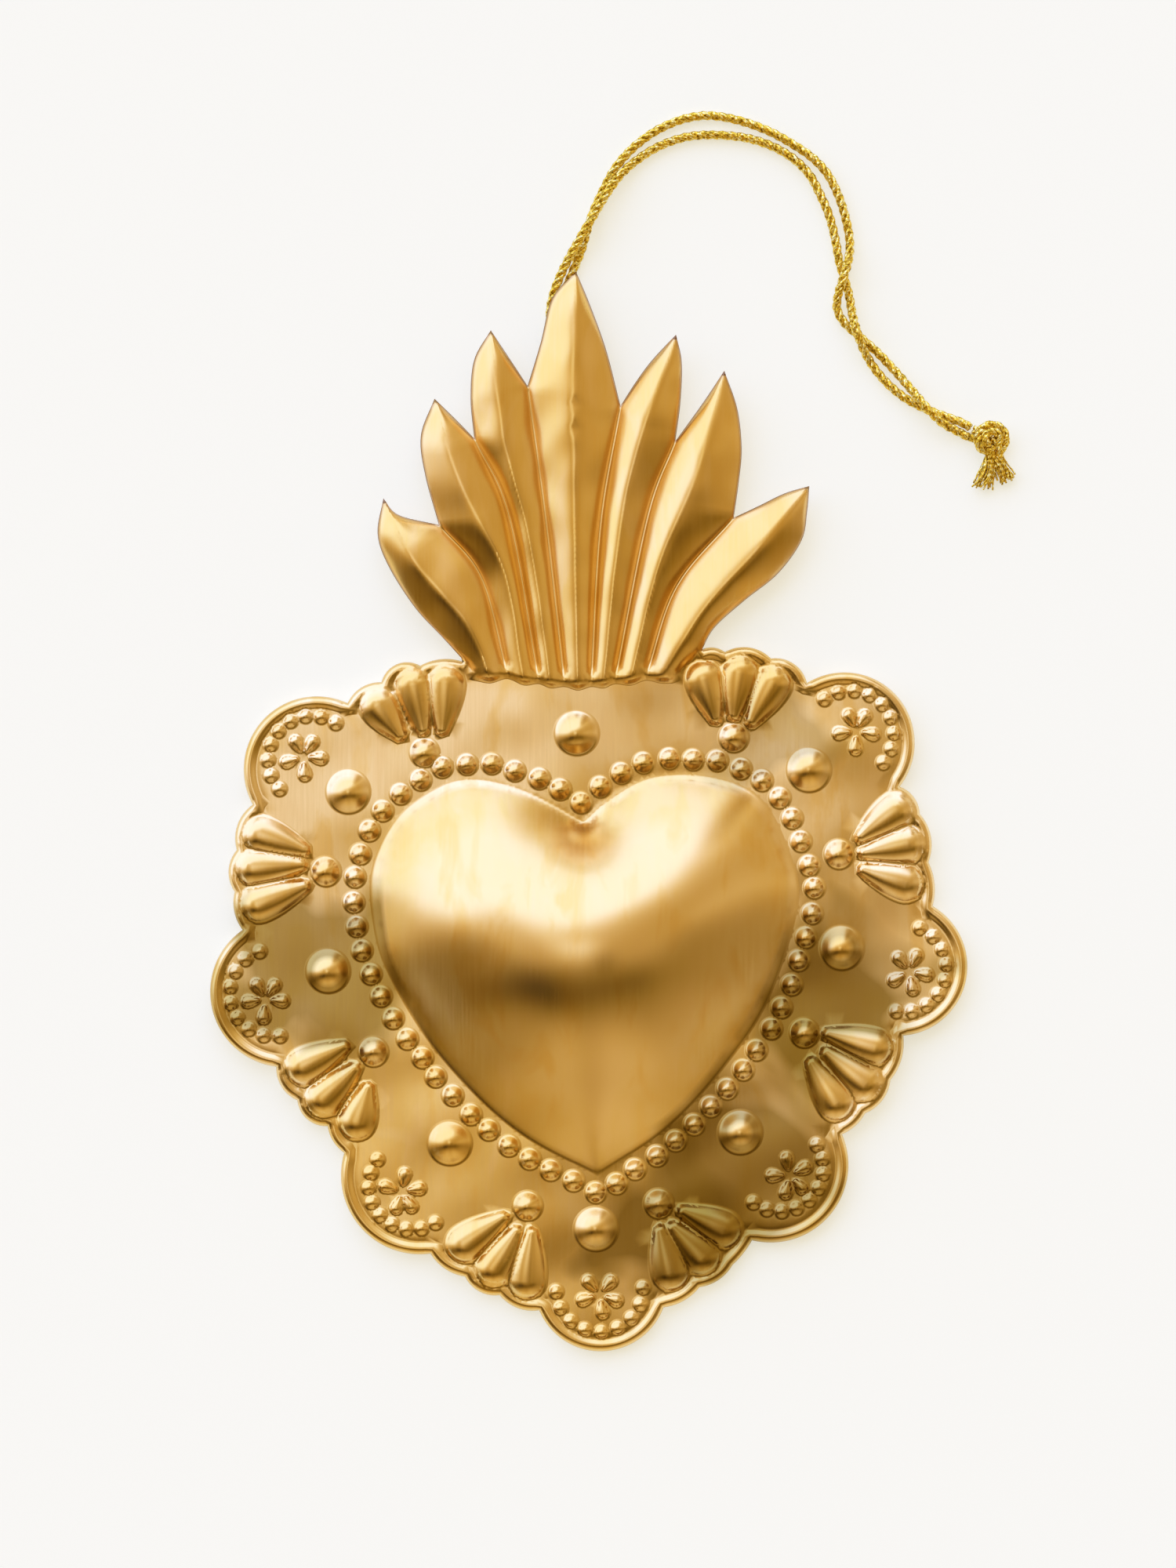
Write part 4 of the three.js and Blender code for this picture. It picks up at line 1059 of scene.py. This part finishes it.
def pressedBrass():
    # layers of colour one over the other, from the bare metal to the patina and painted shade in the
    # hollows, and the cut edge with painted edge shade; the pale field and heart layers are painted
    # reflection and painted highlight
    material, tree, shader = newMaterial("pressedBrass")
    place = objectPlace(tree)
    cloud = noiseOf(tree, place, 55, 3)
    brush = noiseOf(tree, stretched(tree, place, (5200, 130, 130)), 1, 3)
    patch = noiseOf(tree, place, 62, 2, 0.4)
    smear = noiseOf(tree, stretched(tree, place, (210, 75, 75)), 1, 4, 0.6)
    _, far, high = addNode(tree, "ShaderNodeSeparateXYZ", {0: place}).outputs
    low = ranged(tree, high, *brassLook["fieldTop"], 1, 0)
    flamed = ranged(tree, far, *brassLook["flameFrom"])
    lean = mathOf(tree, "MULTIPLY_ADD", far, 4.0, patch)
    paleFieldReflection = ranged(tree, lean, 0.36, 0.54, 0, 0.75)  # pale patches of the field, more towards the flame: painted reflection of the bright light
    bare = mixColour(tree, ranged(tree, cloud, 0.35, 0.65), brassLook["olive"], brassLook["metal"])
    layers = [
        (mathOf(tree, "MULTIPLY", paleFieldReflection, low), "pale"),
        (mathOf(tree, "MULTIPLY", flamed, 0.5), "honey"),
        (ranged(tree, high, *brassLook["heartHighlightFrom"], 0, 0.35), "pale"),  # paler high on the heart: painted highlight
        (ranged(tree, smear, 0.52, 0.64, 0, 0.4), "rosy"),
        (ranged(tree, smear, 0.36, 0.48, 0.6, 0), "honey"),
        (ranged(tree, brush, 0.3, 0.7, 0.0, 0.2), "rosy"),
    ]
    # ragged dark patches on the flat field, partly tarnish and partly painted dark reflection: x, y, reach
    # and share
    for x, y, reach, most in brassLook["tarnishAndShadeSpots"]:
        away = distanceOf(tree, place, (x * mm, y * mm, sheet["field"] * mm))
        ragged = mathOf(tree, "MULTIPLY_ADD", patch, brassLook["ragged"], away)
        outer = reach * mm + brassLook["ragged"] / 2
        tarnishAndShadeShare = ranged(tree, ragged, outer - 0.4 * reach * mm, outer, most, 0)
        layers.append((mathOf(tree, "MULTIPLY", tarnishAndShadeShare, low), "tarnishAndShade"))
    # darker in the hollows, less on the flame: partly patina and partly painted crease shade
    creasePatinaShade = ranged(tree, attributeOf(tree, "hollow"), 0.25, 1.4, 0, 0.75)
    creasePatinaShade = mathOf(tree, "MULTIPLY", creasePatinaShade, ranged(tree, far, *brassLook["flameFrom"], 1, 0.25))
    # the dark coppery line along the flame's cut edge is partly the edge's own colour and partly painted
    # edge shade
    layers += [(creasePatinaShade, "patinaAndShade"), (ranged(tree, attributeOf(tree, "margin"), 0.0, 0.42, 0.9, 0), "copper")]
    colour = bare
    for share, tone in layers:
        colour = mixColour(tree, share, colour, brassLook[tone])
    rough = brassLook["roughness"]
    setInputs(tree, shader, {
        "Base Color": colour, "Metallic": 1.0, "Coat Weight": brassLook["lacquer"], "Coat Roughness": 0.25,
        "Roughness": ranged(tree, brush, 0.3, 0.7, rough - 0.02, rough + 0.03),
        "Normal": bumpOf(tree, brush, 0.03, 0.00002),
    })
    return material


threadLook = {
    "gold": (1.0, 0.68, 0.05, 1), "pale": (1.0, 0.92, 0.4, 1), "deep": (0.4, 0.24, 0.01, 1), "wraps": 9.0,
}


def goldThread():
    # flecks of three golds, the pale ones painted glints and the deep ones painted dark specks of
    # reflection, and a fine wrap that winds round each ply as a sine of length and turn
    material, tree, shader = newMaterial("goldThread")
    glintNoise = noiseOf(tree, objectPlace(tree), 2600, 2)
    colour = mixColour(tree, ranged(tree, glintNoise, 0.36, 0.46), threadLook["deep"], threadLook["gold"])
    colour = mixColour(tree, ranged(tree, glintNoise, 0.53, 0.6), colour, threadLook["pale"])
    turn = mathOf(tree, "MULTIPLY", attributeOf(tree, "turn"), 6.2832)
    wrap = mathOf(tree, "MULTIPLY_ADD", attributeOf(tree, "lay"), threadLook["wraps"], turn)
    setInputs(tree, shader, {
        "Base Color": colour, "Metallic": 0.75, "Roughness": 0.25,
        "Normal": bumpOf(tree, mathOf(tree, "SINE", wrap), 0.4, 0.00006),
    })
    return material


wireLook = {"bright": (0.72, 0.5, 0.2, 1), "dull": (0.4, 0.26, 0.1, 1), "roughness": 0.38, "mottle": 900}
solderLook = {
    "bright": (0.6, 0.59, 0.56, 1), "dull": (0.34, 0.33, 0.31, 1), "roughness": 0.42, "mottle": 1400,
}


def mottledMetal(name, look):
    material, tree, shader = newMaterial(name)
    stain = noiseOf(tree, objectPlace(tree), look["mottle"], 4)
    colour = mixColour(tree, ranged(tree, stain, 0.35, 0.65), look["dull"], look["bright"])
    setInputs(tree, shader, {
        "Base Color": colour, "Metallic": 1.0,
        "Roughness": ranged(tree, stain, 0.3, 0.7, look["roughness"] + 0.15, look["roughness"] - 0.1),
        "Normal": bumpOf(tree, stain, 0.3, 0.0001),
    })
    return material


def dress(piece, material):
    piece.data.materials.clear()
    piece.data.materials.append(material)


dress(pressed, pressedBrass())
dress(loop, mottledMetal("dulledWire", wireLook))
greySolder = mottledMetal("greySolder", solderLook)
dress(upperJoint, greySolder)
dress(lowerJoint, greySolder)
thread = goldThread()
for piece in cordPieces.values():
    dress(piece, thread)
print("materials made")


# Floor and light: a white table under a wide light panel that reaches from overhead to the far side
stage = {"size": 6.0, "white": (0.947, 0.939, 0.922, 1), "table": (0.8, 0.795, 0.785, 1), "share": 0.3,
         "glow": (1.83, 1.89, 1.71, 1)}
# studio: a direction's lean is its share towards the far side less a share of its way to the right;
# "ramp" gives the brightness by lean, "band" a bowed dark band on the near side, "spots" brighter or darker
# places (right, far, reach, change), and "tones" the light's colour by brightness
studio = {
    "slant": 0.3, "fan": 0.28,
    "ramp": ((-1.0, 0.84), (-0.8, 0.69), (-0.5, 0.55), (-0.3, 0.52), (-0.12, 0.58), (0.04, 0.62),
             (0.22, 0.7), (0.36, 0.86), (0.5, 1.06), (0.64, 1.24), (1.0, 1.24)),
    "band": {"slant": 0.06, "bow": 0.16, "middle": -0.54, "reach": 0.42, "change": -0.4},
    "spots": ((0.56, 0.98, 0.36, -0.9), (-0.1, 0.03, 0.37, 0.38), (0.15, -0.14, 0.26, -0.25),
              (0.9, -0.5, 0.35, 0.14), (1.05, -0.1, 0.6, 0.24), (-0.45, -0.5, 0.34, -0.14),
              (-0.88, -0.4, 0.3, 0.1), (0.0, -0.88, 0.28, -0.1), (-1.0, 0.1, 0.6, 0.4)),
    "tones": ((0.0, (0.04, 0.022, 0.003)), (0.16, (0.16, 0.095, 0.015)), (0.3, (0.3, 0.195, 0.045)),
              (0.47, (0.47, 0.32, 0.13)), (0.62, (0.62, 0.44, 0.19)), (0.81, (0.83, 0.68, 0.44)),
              (0.96, (1.0, 0.95, 0.98)), (1.04, (1.08, 1.12, 1.45)), (1.2, (1.22, 1.46, 2.4))),
    "brightest": 1.25,
}


def makeFloor():
    half = stage["size"] / 2 / mm
    points = np.array([(-half, -half, 0), (half, -half, 0), (half, half, 0), (-half, half, 0)])
    floor = meshPiece("tableTop", points, [np.array([[0, 1, 2, 3]])])
    material, tree, shader = newMaterial("tableWhite")
    setInputs(tree, shader, {"Base Color": stage["table"], "Roughness": 0.9})
    rays = addNode(tree, "ShaderNodeLightPath").outputs
    seen = mathOf(tree, "MAXIMUM", rays["Is Camera Ray"], rays["Is Glossy Ray"])
    seen = mathOf(tree, "MAXIMUM", seen, rays["Is Transmission Ray"])
    share = mathOf(tree, "MULTIPLY", seen, stage["share"])
    glow = addNode(tree, "ShaderNodeEmission", {"Color": stage["glow"], "Strength": 1.0})
    mixed = addNode(tree, "ShaderNodeMixShader", {0: share, 1: shader.outputs[0], 2: glow.outputs[0]})
    tree.links.new(mixed.outputs[0], tree.nodes["Material Output"].inputs[0])
    dress(floor, material)


def rampOf(tree, share, stops):
    ramp = addNode(tree, "ShaderNodeValToRGB", {"Fac": share})
    elements = ramp.color_ramp.elements
    while len(elements) < len(stops):
        elements.new(0.5)
    for element, (position, colour) in zip(elements, stops):
        element.position = position
        element.color = (*colour, 1)
    return ramp.outputs["Color"]


def fading(tree, away, reach, change):
    # the whole change where the distance is none, fading out smoothly at the reach
    places = {"Value": away, "From Max": reach, "To Min": change, "To Max": 0.0}
    return addNode(tree, "ShaderNodeMapRange", places, interpolation_type="SMOOTHSTEP").outputs[0]


def makeLight():
    # brightness = ramp(far * (1 - fan * right) - slant * right) + band + spots, coloured by the tones;
    # the band's change fades with the distance of far - slant * right - bow * right squared from its middle
    world = bpy.data.worlds.new("studio")
    bpy.context.scene.world = world
    world.use_nodes = True
    tree = world.node_tree
    direction = addNode(tree, "ShaderNodeTexCoord").outputs["Generated"]
    right, far, _ = addNode(tree, "ShaderNodeSeparateXYZ", {0: direction}).outputs
    narrow = ranged(tree, right, -1, 1, 1 + studio["fan"], 1 - studio["fan"])
    aside = mathOf(tree, "MULTIPLY", right, studio["slant"])
    lean = mathOf(tree, "SUBTRACT", mathOf(tree, "MULTIPLY", far, narrow), aside)
    stops = [((place + 1) / 2, (level, level, level)) for place, level in studio["ramp"]]
    level = rampOf(tree, ranged(tree, lean, -1, 1), stops)
    band = studio["band"]
    bow = mathOf(tree, "ADD", mathOf(tree, "MULTIPLY", right, band["bow"]), band["slant"])
    away = mathOf(tree, "SUBTRACT", far, mathOf(tree, "MULTIPLY", right, bow))
    away = mathOf(tree, "ABSOLUTE", mathOf(tree, "SUBTRACT", away, band["middle"]))
    level = mathOf(tree, "ADD", level, fading(tree, away, band["reach"], band["change"]))
    flat = addNode(tree, "ShaderNodeCombineXYZ", {0: right, 1: far}).outputs[0]
    for x, y, reach, change in studio["spots"]:
        away = distanceOf(tree, flat, (x, y, 0))
        level = mathOf(tree, "ADD", level, fading(tree, away, reach, change))
    tones = [(level / studio["brightest"], colour) for level, colour in studio["tones"]]
    colour = rampOf(tree, mathOf(tree, "DIVIDE", level, studio["brightest"]), tones)
    rays = addNode(tree, "ShaderNodeLightPath").outputs
    colour = mixColour(tree, rays["Is Camera Ray"], colour, stage["white"])
    setInputs(tree, tree.nodes["Background"], {"Color": colour, "Strength": 1.0})


makeFloor()
makeLight()
bpy.context.scene.view_settings.view_transform = "Standard"
print("stage and light set")
